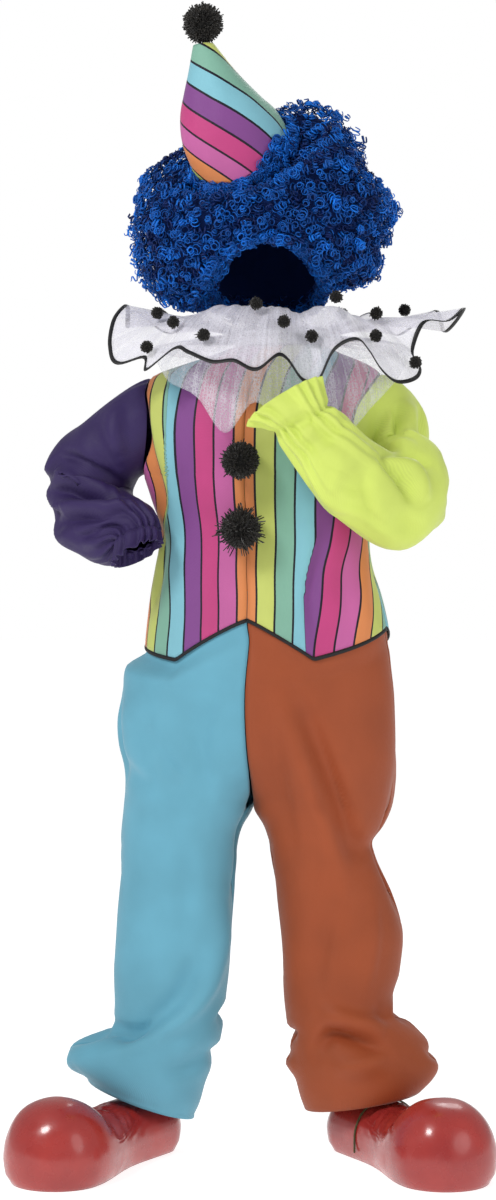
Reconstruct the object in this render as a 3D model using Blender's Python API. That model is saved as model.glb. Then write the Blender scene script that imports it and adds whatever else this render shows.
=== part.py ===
"""A child's clown costume, as worn: jumpsuit with a striped bodice, two-tone sleeves and
trousers, tulle ruff, striped cone hat, curly wig and big-toed overshoes.

The sizes are millimetres. +X is the wearer's left, -Y the front and +Z up, and the origin
is the middle of the neck, where the wearer carries the costume.
"""

import math

import bmesh
import bpy
import numpy as np

MM = 0.001  # metres in a millimetre

# Driving sizes
CLOTH = 1.6  # wall of the jumpsuit's gabardine and of the hat
TULLE = 1.0  # wall of the ruff's two layers
SEAM = 0.4  # gap where two sewn pieces meet
PANEL_WIDTH = 220.0  # about the width of a bodice or trouser panel
TUCK = 3.5  # how far the trousers lie inside the bodice
FLOOR = -1044.0  # under the overshoes' soles
BINDING_WIDTH = 5.0
BINDING_THICK = 2.4
RIBBON_WIDTH = 6.0
RUFF_POMPOM = 9.0  # radius of the small pompoms
POMPOM_STEM = 4.0  # from the cloth's middle to a small pompom's surface
RUFF_MIDDLE = (33.0, 0.0)  # x and y of the neck's axis
WIG_MIDDLE = (13.0, 5.0, 165.0)

# The body's tube, a row for each level: its middle, the half width across the chest, the
# reach to front and back, and how far it is turned to the wearer's right.
TORSO = (
    # z, middle, half_width, front, back, turn
    (-400, 12, 166, 104, 107, 14),
    (-343, 12, 162, 98, 100, 16),
    (-304, 11, 155, 92, 92, 16),
    (-273, 9, 147, 88, 88, 16),
    (-219, 9, 141, 86, 86, 16),
    (-177, 3, 146, 92, 90, 13),
    (-121, -3, 154, 98, 94, 9),
    (-65, -1, 159, 96, 92, 9),
    (-32, 6, 160, 86, 85, 10),
    (-12, 13, 148, 76, 77, 11),
    (0, 20, 122, 68, 71, 12),
    (12, 27, 88, 60, 64, 12),
    (22, 33, 62, 56, 59, 12),
)
NECK = 22.0
ROUNDNESS = 0.88  # below 1, the sections are squarer than an ellipse

# The bodice's zigzag hem, by the angle from centre front.
HEM = (
    # angle, z
    (-180, -350),
    (-142, -384),
    (-90, -368),
    (-35, -388),
    (0, -336),
    (28, -386),
    (90, -346),
    (138, -380),
    (180, -350),
)
HEM_LEVEL = -365.0  # the height that the zigzag goes about

# Each armhole is an oval on the body's tube, by its angle to either side and its height.
ARMHOLE_MIDDLE = -80.0
ARMHOLE_HALF_HEIGHT = 67.0
ARMHOLE_HALF_ANGLE = 34.0
ARMHOLE_TUCK = 4.5  # how far the sleeve starts inside the armhole

# The trouser legs, a row for each level. A leg's section starts at the side seam and goes
# round by wrap degrees each way: 90 is half of the hips, 180 is a whole leg. Its inner edge
# is measured from the centre seam.
HIPS = (
    # z, middle_y, front, back, wrap
    (-300, 0, 86, 88, 90),
    (-372, 0, 96, 102, 90),
    (-402, 0, 101, 110, 90),
    (-431, 0, 103, 113, 91),
    (-472, 0, 104, 115, 96),
    (-504, 0, 102, 114, 108),
    (-534, 0, 99, 111, 126),
    (-562, 0, 95, 107, 150),
    (-590, -1, 90, 100, 180),
    (-612, -2, 86, 93, 180),
    (-669, -5, 80, 84, 180),
)
RIGHT_LEG = (
    # z, outer, inner, middle_y, front, back, slope
    (-300, -140, 0, 0, 86, 88, 0),
    (-372, -153, 0, 0, 96, 102, 0),
    (-384, -169, 0, 0, 98, 106, 0),
    (-402, -177, 0, 0, 101, 110, 0),
    (-431, -182, 0, 0, 103, 113, 0),
    (-472, -189, 0, 0, 104, 115, 0),
    (-504, -186, 0, 0, 102, 114, 0),
    (-534, -178, 0, 0, 99, 111, 0),
    (-562, -176, 0, 0, 95, 107, 0),
    (-590, -178, -2, -1, 90, 100, 0),
    (-612, -180, -13, -2, 86, 93, 0),
    (-669, -182, -19, -5, 80, 84, 0),
    (-730, -186, -24, -8, 76, 78, 0),
    (-797, -190, -28, -12, 72, 73, 0),
    (-856, -189, -35, -15, 70, 70, 0),
    (-876, -192, -37, -16, 70, 70, -0.02),
    (-890, -216, -40, -17, 73, 72, -0.05),
    (-910, -242, -48, -18, 76, 74, -0.12),
    (-930, -249, -59, -18, 76, 74, -0.2),
    (-950, -240, -67, -18, 72, 70, -0.3),
    (-966, -224, -75, -18, 64, 62, -0.36),
)
LEFT_LEG = (
    # z, outer, inner, middle_y, front, back, slope
    (-300, 162, 0, 0, 86, 88, 0),
    (-372, 173, 0, 0, 96, 102, 0),
    (-384, 175, 0, 0, 98, 106, 0),
    (-402, 177, 0, 0, 101, 110, 0),
    (-431, 180, 0, 0, 103, 113, 0),
    (-472, 181, 0, 0, 104, 115, 0),
    (-504, 181, 0, 0, 102, 114, 0),
    (-534, 180, 0, 0, 99, 111, 0),
    (-562, 177, 0, 0, 95, 107, 0),
    (-590, 172, 2, -1, 90, 100, 0),
    (-612, 163, 15, -2, 86, 93, 0),
    (-634, 150, 22, -4, 83, 89, 0),
    (-650, 154, 24, -6, 80, 86, 0),
    (-700, 176, 31, -8, 78, 80, 0),
    (-750, 191, 37, -10, 76, 76, 0),
    (-802, 187, 41, -12, 74, 73, 0),
    (-846, 179, 44, -15, 71, 70, 0),
    (-868, 196, 47, -16, 72, 71, 0.02),
    (-905, 228, 52, -18, 77, 75, 0.05),
    (-932, 239, 57, -18, 77, 75, 0.09),
    (-955, 230, 64, -18, 73, 71, 0.14),
    (-972, 214, 71, -18, 65, 63, 0.18),
)
# The centre seam of the trousers, and how far the hips are turned to the wearer's right.
CENTRE = (
    # z, middle, turn
    (-620, -9, 0),
    (-590, -9, 0),
    (-504, -5, 6),
    (-431, -3, 8),
    (-372, 3, 9),
    (-300, 10, 12),
)
# The heights of the trousers' rows of points, close where the cloth bends.
TROUSER_ROWS = (
    -330, -350, -375, -381, -389, -400, -420, -447, -475, -504, -532, -560, -590, -614, -634,
    -652, -695, -745, -800, -845, -864, -882, -898, -915, -932, -950, -970,
)

# The sleeves, a row for each ring: the ends of the ring's long axis, on the outside of the
# arm and in the crook of the elbow, how far forward the ring lies, and its half depth.
RIGHT_SLEEVE = (
    # place, outer_x, outer_z, crook_x, crook_z, y, depth
    (0.0, -168, -12, -158, -148, 0, 56),
    (0.10, -193, -37, -161, -147, 9, 57),
    (0.20, -230, -73, -163, -151, 24, 56),
    (0.31, -268, -99, -166, -157, 42, 55),
    (0.42, -288, -137, -169, -165, 50, 54),
    (0.52, -282, -181, -168, -173, 42, 53),
    (0.62, -260, -226, -162, -180, 20, 51),
    (0.72, -232, -252, -149, -187, -10, 47),
    (0.81, -210, -254, -137, -196, -38, 40),
    (0.90, -189, -240, -129, -219, -58, 25),
    (1.0, -188, -268, -128, -237, -66, 33),
)
LEFT_SLEEVE = (
    # place, outer_x, outer_z, crook_x, crook_z, y, depth
    (0.0, 160, -12, 158, -148, 0, 56),
    (0.10, 197, -21, 164, -146, -4, 56),
    (0.22, 214, -60, 166, -142, -14, 55),
    (0.34, 220, -108, 163, -141, -28, 54),
    (0.44, 244, -158, 160, -136, -54, 54),
    (0.53, 230, -214, 154, -130, -86, 54),
    (0.62, 181, -247, 144, -119, -122, 53),
    (0.71, 118, -219, 127, -103, -152, 52),
    (0.81, 69, -174, 109, -82, -172, 48),
    (0.91, 18, -103, 88, -67, -187, 30),
    (1.0, -14, -90, 77, -34, -183, 34),
)

# The ruff's two layers, by the angle round the neck from the wearer's left: how far out
# the edge reaches, its height, and how high the cloth arches on its way there.
RUFF_UPPER = (
    # angle, reach, z, crest
    (2, 238, 76, 8),
    (14, 224, 50, 10),
    (27, 234, 84, 8),
    (42, 214, 56, 8),
    (57, 230, 92, 6),
    (72, 210, 60, 8),
    (88, 226, 94, 6),
    (104, 210, 60, 8),
    (120, 228, 90, 6),
    (136, 212, 58, 8),
    (152, 228, 84, 6),
    (166, 212, 56, 8),
    (178, 206, 80, 10),
    (187, 222, 56, 16),
    (194, 231, 22, 22),
    (202, 226, -4, 30),
    (207, 200, 4, 30),
    (212, 208, -14, 34),
    (220, 184, 12, 34),
    (230, 187, 5, 36),
    (241, 189, -9, 38),
    (250, 187, -9, 38),
    (259, 183, -20, 38),
    (268, 168, 0, 34),
    (279, 160, -32, 34),
    (286, 158, -30, 34),
    (292, 162, 6, 34),
    (299, 182, 20, 30),
    (306, 180, 8, 34),
    (313, 178, -14, 36),
    (320, 184, -29, 34),
    (328, 193, -26, 32),
    (336, 192, -10, 26),
    (343, 174, 18, 20),
    (348, 184, 52, 14),
    (354, 214, 56, 8),
)
RUFF_LOWER = (
    # angle, reach, z, crest
    (0, 168, 18, 4),
    (40, 185, 22, 2),
    (90, 190, 26, 0),
    (140, 185, 22, 2),
    (180, 172, 18, 4),
    (205, 162, -30, 14),
    (222, 150, -52, 16),
    (236, 138, -98, 14),
    (252, 128, -60, 16),
    (270, 126, -84, 14),
    (288, 126, -66, 14),
    (306, 132, -100, 12),
    (322, 150, -58, 14),
    (338, 160, -24, 12),
)
RUFF_SEAM = 64.0  # radius where the layers are gathered on the neck band
RUFF_UPPER_SEAM = 42.0
RUFF_LOWER_SEAM = 34.0
BAND = (22.6, 46.0, 61.0)  # neck band: bottom, top, radius

# The ruff's small pompoms, by angle and by how far out on the upper layer they are sewn.
RUFF_POMPOMS = (
    # angle, out
    (196, 0.62),
    (215, 0.74),
    (210, 0.93),
    (236, 0.90),
    (254, 0.58),
    (268, 0.80),
    (286, 0.77),
    (306, 0.42),
    (312, 0.84),
    (330, 0.95),
    (342, 0.55),
    (24, 0.70),
    (60, 0.70),
    (96, 0.70),
    (132, 0.70),
    (166, 0.70),
)
FRONT_POMPOMS = (
    # name, z, radius
    ("pompom_upper", -134, 25),
    ("pompom_lower", -222, 28),
)

# The hat, a row for each ring from the tip down: its left and right ends, and half depth.
HAT = (
    # place, right_x, right_z, left_x, left_z, y, depth, dip
    (0.0, -84, 409, -58, 411, -66, 13, 0),
    (0.16, -89, 382, -42, 392, -64, 23, 3),
    (0.38, -96, 349, -20, 368, -60, 34, 9),
    (0.62, -101, 316, 5, 343, -55, 42, 20),
    (0.82, -98, 286, 25, 322, -50, 44, 35),
    (1.0, -86, 258, 40, 296, -46, 44, 48),
)
HAT_POMPOM = (-72.0, -66.0, 438.5, 27.0)  # x, y, z, radius

# The wig's outline from the front, by bearing round its middle, and its reach in depth.
WIG_OUTLINE = (
    # bearing, reach
    (-60, 104),
    (-34, 114),
    (-18, 154),
    (5, 168),
    (14, 181),
    (32, 166),
    (52, 184),
    (76, 198),
    (92, 172),
    (112, 158),
    (134, 172),
    (158, 190),
    (182, 182),
    (204, 168),
    (216, 150),
    (230, 112),
    (262, 104),
)
WIG_DEPTH = 150.0
HEAD = (82.0, 98.0, 112.0)  # half sizes of the hollow in the wig
WIG_AXIS = (0.0, -0.70, -0.714)  # out through the middle of the face opening
# How wide the opening is, in degrees off its axis, by bearing from the brow.
WIG_OPENING = (
    # bearing, width
    (0, 40),
    (45, 38),
    (78, 39),
    (100, 47),
    (112, 52),
    (135, 66),
    (180, 80),
    (225, 66),
    (248, 52),
    (260, 47),
    (282, 39),
    (315, 38),
)
HAT_SEAT = (-0.277, -0.398, 0.874)  # from the wig's middle to the brim's
BRIM_AXIS = (-0.200, -0.722, 0.662)  # square to the brim
BRIM_LEVEL = 113.0  # how far out along that axis the curls reach under the hat
BRIM_CLEAR = (0.68, 0.77)  # cosines between which the curls are pressed down

# The overshoes: middles of the ankle and of the toe ball in plan, and their sizes.
SHOES = (
    # name, heel_x, heel_y, toe_x, toe_y
    ("right", -150, 6, -253, -168),
    ("left", 140, 6, 232, -170),
)
TOE_RADIUS = 67.0
TOE_HEIGHT = 103.0
HEEL_RADIUS = 47.0
WAIST = 9.0  # how far the sole pulls in between heel and toe
CREST = ((-0.3, 66), (0.0, 70), (0.3, 74), (0.5, 72), (0.62, 71))  # share of length, height
SIDE_HEIGHT = 30.0  # where the overshoe is widest
SOLE_TUCK = 9.0  # how far the sole lies inside that
ANKLE_OPENING = 34.0
SHOE_WALL = 3.0
SHOE_COLUMNS = 28
TIE_RADIUS = 1.3
TIE_PLACE = 0.3  # share of the way from heel to toe


def material(name, colour, roughness, metallic=0.0):
    """A Principled material, with its colour in linear values."""
    made = bpy.data.materials.new(name)
    made.use_nodes = True
    shader = made.node_tree.nodes["Principled BSDF"]
    shader.inputs["Base Color"].default_value = (*colour, 1.0)
    shader.inputs["Roughness"].default_value = roughness
    shader.inputs["Metallic"].default_value = metallic
    made.diffuse_color = (*colour, 1.0)
    return made


def curve(rows):
    """A function that reads a table's columns on a smooth curve through its rows."""
    rows = np.array(sorted(rows), float)
    keys = rows[:, 0]
    slopes = np.gradient(rows, keys, axis=0)

    def read(at):
        at = min(max(at, keys[0]), keys[-1])
        i = min(max(int(np.searchsorted(keys, at)) - 1, 0), len(keys) - 2)
        step = keys[i + 1] - keys[i]
        t = (at - keys[i]) / step
        start = (1 + 2 * t) * (1 - t) ** 2 * rows[i] + t * (1 - t) ** 2 * step * slopes[i]
        end = t * t * (3 - 2 * t) * rows[i + 1] - t * t * (1 - t) * step * slopes[i + 1]
        return (start + end)[1:]

    return read


def ring_curve(rows):
    """The same for a table by angle, whose rows go on past both ends so that it closes."""
    rows = sorted(rows)
    before = [(row[0] - 360, *row[1:]) for row in rows[-3:]]
    after = [(row[0] + 360, *row[1:]) for row in rows[:3]]
    return curve(before + rows + after)


def ease(value):
    """0 below 0, 1 above 1, and smooth between them."""
    value = min(max(value, 0.0), 1.0)
    return value * value * (3 - 2 * value)


def rounded(value):
    return math.copysign(abs(value) ** ROUNDNESS, value)


def skin(name, outer, inner, finish, wraps=False, pole=False):
    """A closed wall between two grids of points: rings or rows first, then columns."""
    mesh = bmesh.new()
    first = 1 if pole else 0
    columns = outer.shape[1]
    pairs = [(c, (c + 1) % columns) for c in range(columns if wraps else columns - 1)]
    sides = []
    for grid in (outer, inner):
        side = [[mesh.verts.new(point * MM) for point in row] for row in grid[first:]]
        for upper, lower in zip(side, side[1:]):
            for a, b in pairs:
                mesh.faces.new((upper[a], upper[b], lower[b], lower[a]))
        if pole:
            tip = mesh.verts.new(grid[0].mean(axis=0) * MM)
            for a, b in pairs:
                mesh.faces.new((tip, side[0][b], side[0][a]))
        sides.append(side)
    out, back = sides
    rims = [(out[-1], back[-1])] if pole else [(out[0], back[0]), (out[-1], back[-1])]
    for near, far in rims:
        for a, b in pairs:
            mesh.faces.new((near[a], near[b], far[b], far[a]))
    if not wraps:
        for c in (0, columns - 1):
            for r in range(len(out) - 1):
                mesh.faces.new((out[r][c], out[r + 1][c], back[r + 1][c], back[r][c]))
    bmesh.ops.recalc_face_normals(mesh, faces=mesh.faces)
    return place(name, mesh, finish)


def place(name, mesh, finish):
    """The bmesh as an object of its own, shaded smooth."""
    data = bpy.data.meshes.new(name)
    mesh.to_mesh(data)
    mesh.free()
    data.materials.append(finish)
    data.shade_smooth()
    made = bpy.data.objects.new(name, data)
    bpy.context.scene.collection.objects.link(made)
    return made


def spread(surface, across, down, out):
    """A grid of a surface's points, moved out along its normal. The rows are shares of the
    way down, or heights in millimetres for the trousers."""
    grid = np.empty((len(down), len(across), 3))
    nudge = 0.002
    rise = 0.5 if abs(down[-1]) > 2 else nudge
    for r, v in enumerate(down):
        for c, u in enumerate(across):
            along_u = surface(u + nudge, v) - surface(u - nudge, v)
            along_v = surface(u, v + rise) - surface(u, v - rise)
            normal = np.cross(along_u, along_v)
            grid[r, c] = surface(u, v) + normal / np.linalg.norm(normal) * out
    return grid


def cloth(name, surface, across, down, finish, wall=CLOTH, wraps=False):
    """A wall of cloth whose middle lies on the surface."""
    outer = spread(surface, across, down, wall / 2)
    inner = spread(surface, across, down, -wall / 2)
    return skin(name, outer, inner, finish, wraps)


def steps(start, end, count, trim=0.0):
    """Values from start to end, pulled in by the trim at both ends."""
    values = np.linspace(start, end, count)
    values[0] += math.copysign(trim, end - start)
    values[-1] -= math.copysign(trim, end - start)
    return values


def round_steps(count):
    return np.arange(count) / count


# --- Bodice -----------------------------------------------------------------

torso = curve(TORSO)
hips = curve(HIPS)
centre_seam = curve(CENTRE)


def torso_point(angle, z, out=0.0):
    """A point of the body's tube. The angle is from centre front to the wearer's left."""
    middle, half_width, front, back, turn = torso(z)
    bearing = math.radians(angle)
    depth = front if abs(angle % 360 - 180) > 90 else back
    x = (half_width + out) * rounded(math.sin(bearing))
    y = -(depth + out) * rounded(math.cos(bearing))
    turned = math.radians(turn)
    return np.array((
        middle + x * math.cos(turned) + y * math.sin(turned),
        y * math.cos(turned) - x * math.sin(turned),
        z,
    ))


def hem_height(angle):
    angles, heights = zip(*HEM)
    return float(np.interp((angle + 180) % 360 - 180, angles, heights))


def armhole_edge(z):
    """How far the panel's edge stands back from the side seam at this height."""
    reach = (z - ARMHOLE_MIDDLE) / ARMHOLE_HALF_HEIGHT
    return ARMHOLE_HALF_ANGLE * math.sqrt(max(0.0, 1 - reach * reach))


def bodice_surface(centre, side):
    """From centre front or back (u 0) to the side seam (u 1), hem (v 0) to neck (v 1)."""

    def surface(u, v):
        lean = side - centre
        level = hem_height(centre + lean * u) * (1 - v) + (NECK - 0.5) * v
        edge = lean - math.copysign(armhole_edge(level), lean)
        return torso_point(centre + edge * u, level)

    return surface


def bodice(striped, binding):
    rows = steps(0, 1, 15)
    panels = (
        ("front_right", 0, -90),
        ("front_left", 0, 90),
        ("back_right", -180, -90),
        ("back_left", 180, 90),
    )
    for name, centre, side in panels:
        surface = bodice_surface(centre, side)
        columns = steps(0, 1, 8, trim=SEAM / 2 / PANEL_WIDTH)
        cloth(name, surface, columns, rows, striped)
        bind_hem("hem_binding_" + name, surface, columns, binding)


def bind_hem(name, surface, columns, finish):
    """The black binding below the hem's edge, sewn on in line with the cloth."""

    def edge(u, v):
        hem = surface(u, 0)
        down = hem - surface(u, 0.02)
        return hem + down / np.linalg.norm(down) * (SEAM + BINDING_WIDTH * v)

    cloth(name, edge, columns, (0, 1), finish, wall=BINDING_THICK)


# --- Trousers ---------------------------------------------------------------


def trouser_panel(table, centre, side):
    """The panel's surface, from the side seam (u 0) to the centre and inner seam (u 1),
    with v as the level of the row. Rows near the waist follow the bodice's hem."""
    leg_at = curve(table)
    outward = math.copysign(1, side)
    front = centre == 0

    def surface(u, v):
        body_angle = side + (centre - side) * u
        follow = ease((v + 440) / 50)
        z = v + (hem_height(body_angle) - HEM_LEVEL) * follow
        outer, inner, middle_y, ahead, behind, slope = leg_at(z)
        wrap = min(hips(z)[3], 180.0)
        seam_x, turn = centre_seam(z)
        away = SEAM / 2 + CLOTH / 2 * max(0.0, -math.cos(math.radians(wrap)))
        inner = seam_x + outward * (max(0.0, inner * outward) + away)
        half = (outer - inner) / (1 - math.cos(math.radians(wrap)))
        angle = math.radians(wrap * u)
        x = outer - half + half * math.cos(angle) - inner
        y = (-ahead if front else behind) * rounded(math.sin(angle))
        turn = math.radians(turn)
        leg = np.array((
            inner + x * math.cos(turn) + y * math.sin(turn),
            middle_y + y * math.cos(turn) - x * math.sin(turn),
            z + slope * (x + inner - (outer + inner) / 2),
        ))
        share = ease((hem_height(body_angle) - 9 - z) / 24)
        if share == 1:
            return leg
        return torso_point(body_angle, z, -TUCK) * (1 - share) + leg * share

    return surface


def trousers(blue, orange):
    panels = (
        ("trouser_right_front", RIGHT_LEG, 0, -90, blue),
        ("trouser_right_back", RIGHT_LEG, -180, -90, blue),
        ("trouser_left_front", LEFT_LEG, 0, 90, orange),
        ("trouser_left_back", LEFT_LEG, 180, 90, orange),
    )
    for name, table, centre, side, finish in panels:
        surface = trouser_panel(table, centre, side)
        columns = steps(0, 1, 8, trim=SEAM / 2 / PANEL_WIDTH * 1.5)
        cloth(name, surface, columns, TROUSER_ROWS, finish)


# --- Sleeves ----------------------------------------------------------------


def armhole_point(side, turn, shrink):
    """The armhole's edge, at a turn (0 to 1) from the shoulder down its front."""
    angle = 2 * math.pi * turn
    z = ARMHOLE_MIDDLE + (ARMHOLE_HALF_HEIGHT - shrink) * math.cos(angle)
    away = (ARMHOLE_HALF_ANGLE - shrink * 0.5) * math.sin(angle)
    return torso_point(side - math.copysign(1, side) * away, z)


def sleeve_surface(table, side):
    """Round the sleeve (u, from the outside over its front) and along it (v)."""
    ring_at = curve(table)

    def middle(v):
        outer_x, outer_z, crook_x, crook_z, y, _ = ring_at(v)
        return np.array(((outer_x + crook_x) / 2, y, (outer_z + crook_z) / 2))

    def surface(u, v):
        outer_x, outer_z, crook_x, crook_z, _, depth = ring_at(v)
        long_axis = np.array((outer_x - crook_x, 0.0, outer_z - crook_z)) / 2
        along = middle(min(v + 0.03, 1)) - middle(max(v - 0.03, 0))
        short_axis = np.cross(along, long_axis)
        short_axis *= depth / np.linalg.norm(short_axis)
        if short_axis[1] > 0:
            short_axis = -short_axis
        angle = 2 * math.pi * u
        ring = middle(v) + long_axis * math.cos(angle) + short_axis * math.sin(angle)
        start = armhole_point(side, u % 1.0, ARMHOLE_TUCK)
        share = ease(v / 0.22)
        return start * (1 - share) + ring * share

    return surface


def sleeves(purple, lime):
    for name, table, side, finish in (
        ("sleeve_right", RIGHT_SLEEVE, -90, purple),
        ("sleeve_left", LEFT_SLEEVE, 90, lime),
    ):
        surface = sleeve_surface(table, side)
        cloth(name, surface, round_steps(14), steps(0, 1, 19), finish, wraps=True)


# --- Ruff -------------------------------------------------------------------


def ruff_surface(table, seam_z):
    """Round the neck (u) and out from the neck band to the edge (v)."""
    edge_at = ring_curve(table)

    def surface(u, v):
        angle = 360 * (u % 1.0)
        reach, edge_z, crest = edge_at(angle)
        out = RUFF_SEAM + (reach - RUFF_SEAM) * v
        z = seam_z + (edge_z - seam_z) * max(v, 0.0) ** 1.6
        z += crest * math.sin(math.pi * v)
        bearing = math.radians(angle)
        return np.array((
            RUFF_MIDDLE[0] + out * math.cos(bearing),
            RUFF_MIDDLE[1] + out * math.sin(bearing),
            z,
        ))

    return surface


def falling_surface(table, seam_z):
    """The lower layer, which goes out over the shoulders and then falls."""
    edge_at = ring_curve(table)

    def surface(u, v):
        angle = 360 * (u % 1.0)
        reach, edge_z, crest = edge_at(angle)
        quarter = v * math.pi / 2
        out = RUFF_SEAM + (reach - RUFF_SEAM) * math.sin(quarter)
        z = seam_z + (edge_z - seam_z) * (1 - math.cos(quarter))
        z += crest * math.sin(math.pi * v) * 0.3
        bearing = math.radians(angle)
        return np.array((
            RUFF_MIDDLE[0] + out * math.cos(bearing),
            RUFF_MIDDLE[1] + out * math.sin(bearing),
            z,
        ))

    return surface


def band_surface(u, v):
    bearing = 2 * math.pi * u
    low, high, radius = BAND
    return np.array((
        RUFF_MIDDLE[0] + radius * math.cos(bearing),
        RUFF_MIDDLE[1] + radius * math.sin(bearing),
        low + (high - low) * v,
    ))


def ruff(organza, tulle, ribbon, yarn, band):
    upper = ruff_surface(RUFF_UPPER, RUFF_UPPER_SEAM)
    lower = falling_surface(RUFF_LOWER, RUFF_LOWER_SEAM)
    cloth("neck_band", band_surface, round_steps(24), (0, 1), band, wraps=True)
    cloth("ruff_upper", upper, round_steps(76), steps(0, 1, 5), organza, TULLE, wraps=True)
    cloth("ruff_lower", lower, round_steps(42), steps(0, 1, 5), tulle, TULLE, wraps=True)

    def beyond(u, v):
        edge = upper(u, 1)
        outward = edge - upper(u, 0.95)
        return edge + outward / np.linalg.norm(outward) * (SEAM + RIBBON_WIDTH * v)

    cloth("ruff_ribbon", beyond, round_steps(76), (0, 1), ribbon, 1.8, wraps=True)
    for number, (angle, out) in enumerate(RUFF_POMPOMS, 1):
        middle = clear_of(upper, angle / 360, out, RUFF_POMPOM + POMPOM_STEM)
        ball(f"ruff_pompom_{number:02d}", middle, RUFF_POMPOM, 2, yarn)


def clear_of(surface, u, v, radius):
    """The middle of a ball sewn on at u, v, lifted until the folds beside it clear it."""
    near_u = u + np.linspace(-0.03, 0.03, 13)
    near_v = v + np.linspace(-0.14, 0.14, 13)
    folds = spread(surface, near_u, near_v, 0.0).reshape(-1, 3)
    lift = radius
    while True:
        middle = spread(surface, (u,), (v,), -lift)[0, 0]
        if np.linalg.norm(folds - middle, axis=1).min() > radius:
            return middle
        lift += 0.4


def ball(name, middle, radius, fineness, finish):
    mesh = bmesh.new()
    bmesh.ops.create_icosphere(mesh, subdivisions=fineness, radius=radius * MM)
    bmesh.ops.translate(mesh, verts=mesh.verts, vec=np.asarray(middle) * MM)
    return place(name, mesh, finish)


def front_pompoms(yarn):
    for name, z, radius in FRONT_POMPOMS:
        sewn = torso_point(0, z, radius + CLOTH + SEAM)
        ball(name, sewn, radius, 2, yarn)


# --- Hat and wig ------------------------------------------------------------


hat_ring = curve(HAT)


def hat_surface(u, v):
    """Round the hat (u, from the wearer's right over its front), tip (v 0) to brim (v 1)."""
    right_x, right_z, left_x, left_z, y, depth, dip = hat_ring(v)
    angle = 2 * math.pi * u
    middle = np.array(((right_x + left_x) / 2, y, (right_z + left_z) / 2))
    across = np.array((right_x - left_x, 0.0, right_z - left_z)) / 2
    ahead = np.array((0.0, -depth, -dip))
    return middle + across * math.cos(angle) + ahead * math.sin(angle)


def hat(striped, yarn):
    cloth("hat_cone", hat_surface, round_steps(18), steps(0, 1, 8), striped, wraps=True)
    ball("hat_pompom", HAT_POMPOM[:3], HAT_POMPOM[3], 2, yarn)


def wig_grids(rings, columns):
    """The wig's outer and inner surfaces, from its crown to the edge of the opening."""
    axis = np.array(WIG_AXIS) / np.linalg.norm(WIG_AXIS)
    brow = np.array((0.0, 0.0, 1.0)) - axis * axis[2]
    brow /= np.linalg.norm(brow)
    side = np.cross(axis, brow)
    outline = ring_curve(WIG_OUTLINE)
    opening = ring_curve(WIG_OPENING)
    middle = np.array(WIG_MIDDLE)
    outer = np.empty((rings, columns, 3))
    inner = np.empty((rings, columns, 3))
    for r in range(rings):
        for c in range(columns):
            bearing = 360 * c / columns
            edge = 180 - opening(bearing)[0]
            polar = math.radians(edge * r / (rings - 1))
            round_axis = math.radians(bearing)
            ray = -axis * math.cos(polar) + math.sin(polar) * (
                brow * math.cos(round_axis) + side * math.sin(round_axis))
            flat = math.hypot(ray[0], ray[2])
            compass = math.degrees(math.atan2(ray[2], ray[0])) % 360
            reach = outline(compass)[0]
            far = 1 / math.sqrt((flat / reach) ** 2 + (ray[1] / WIG_DEPTH) ** 2)
            near = 1 / math.sqrt(sum((ray[i] / HEAD[i]) ** 2 for i in range(3)))
            far = max(under_hat(ray, far), near + 14)
            outer[r, c] = middle + ray * far
            inner[r, c] = middle + ray * near
    return outer, inner


def under_hat(ray, far):
    """The reach along a ray, pressed flat below the hat's brim."""
    level = float(ray @ np.array(BRIM_AXIS))
    if level < 0.3:
        return far
    low, high = BRIM_CLEAR
    share = ease((float(ray @ np.array(HAT_SEAT)) - low) / (high - low))
    return far + (min(far, BRIM_LEVEL / level) - far) * share


def wig(curls):
    outer, inner = wig_grids(14, 26)
    skin("wig", outer, inner, curls, wraps=True, pole=True)


# --- Overshoes --------------------------------------------------------------


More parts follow.
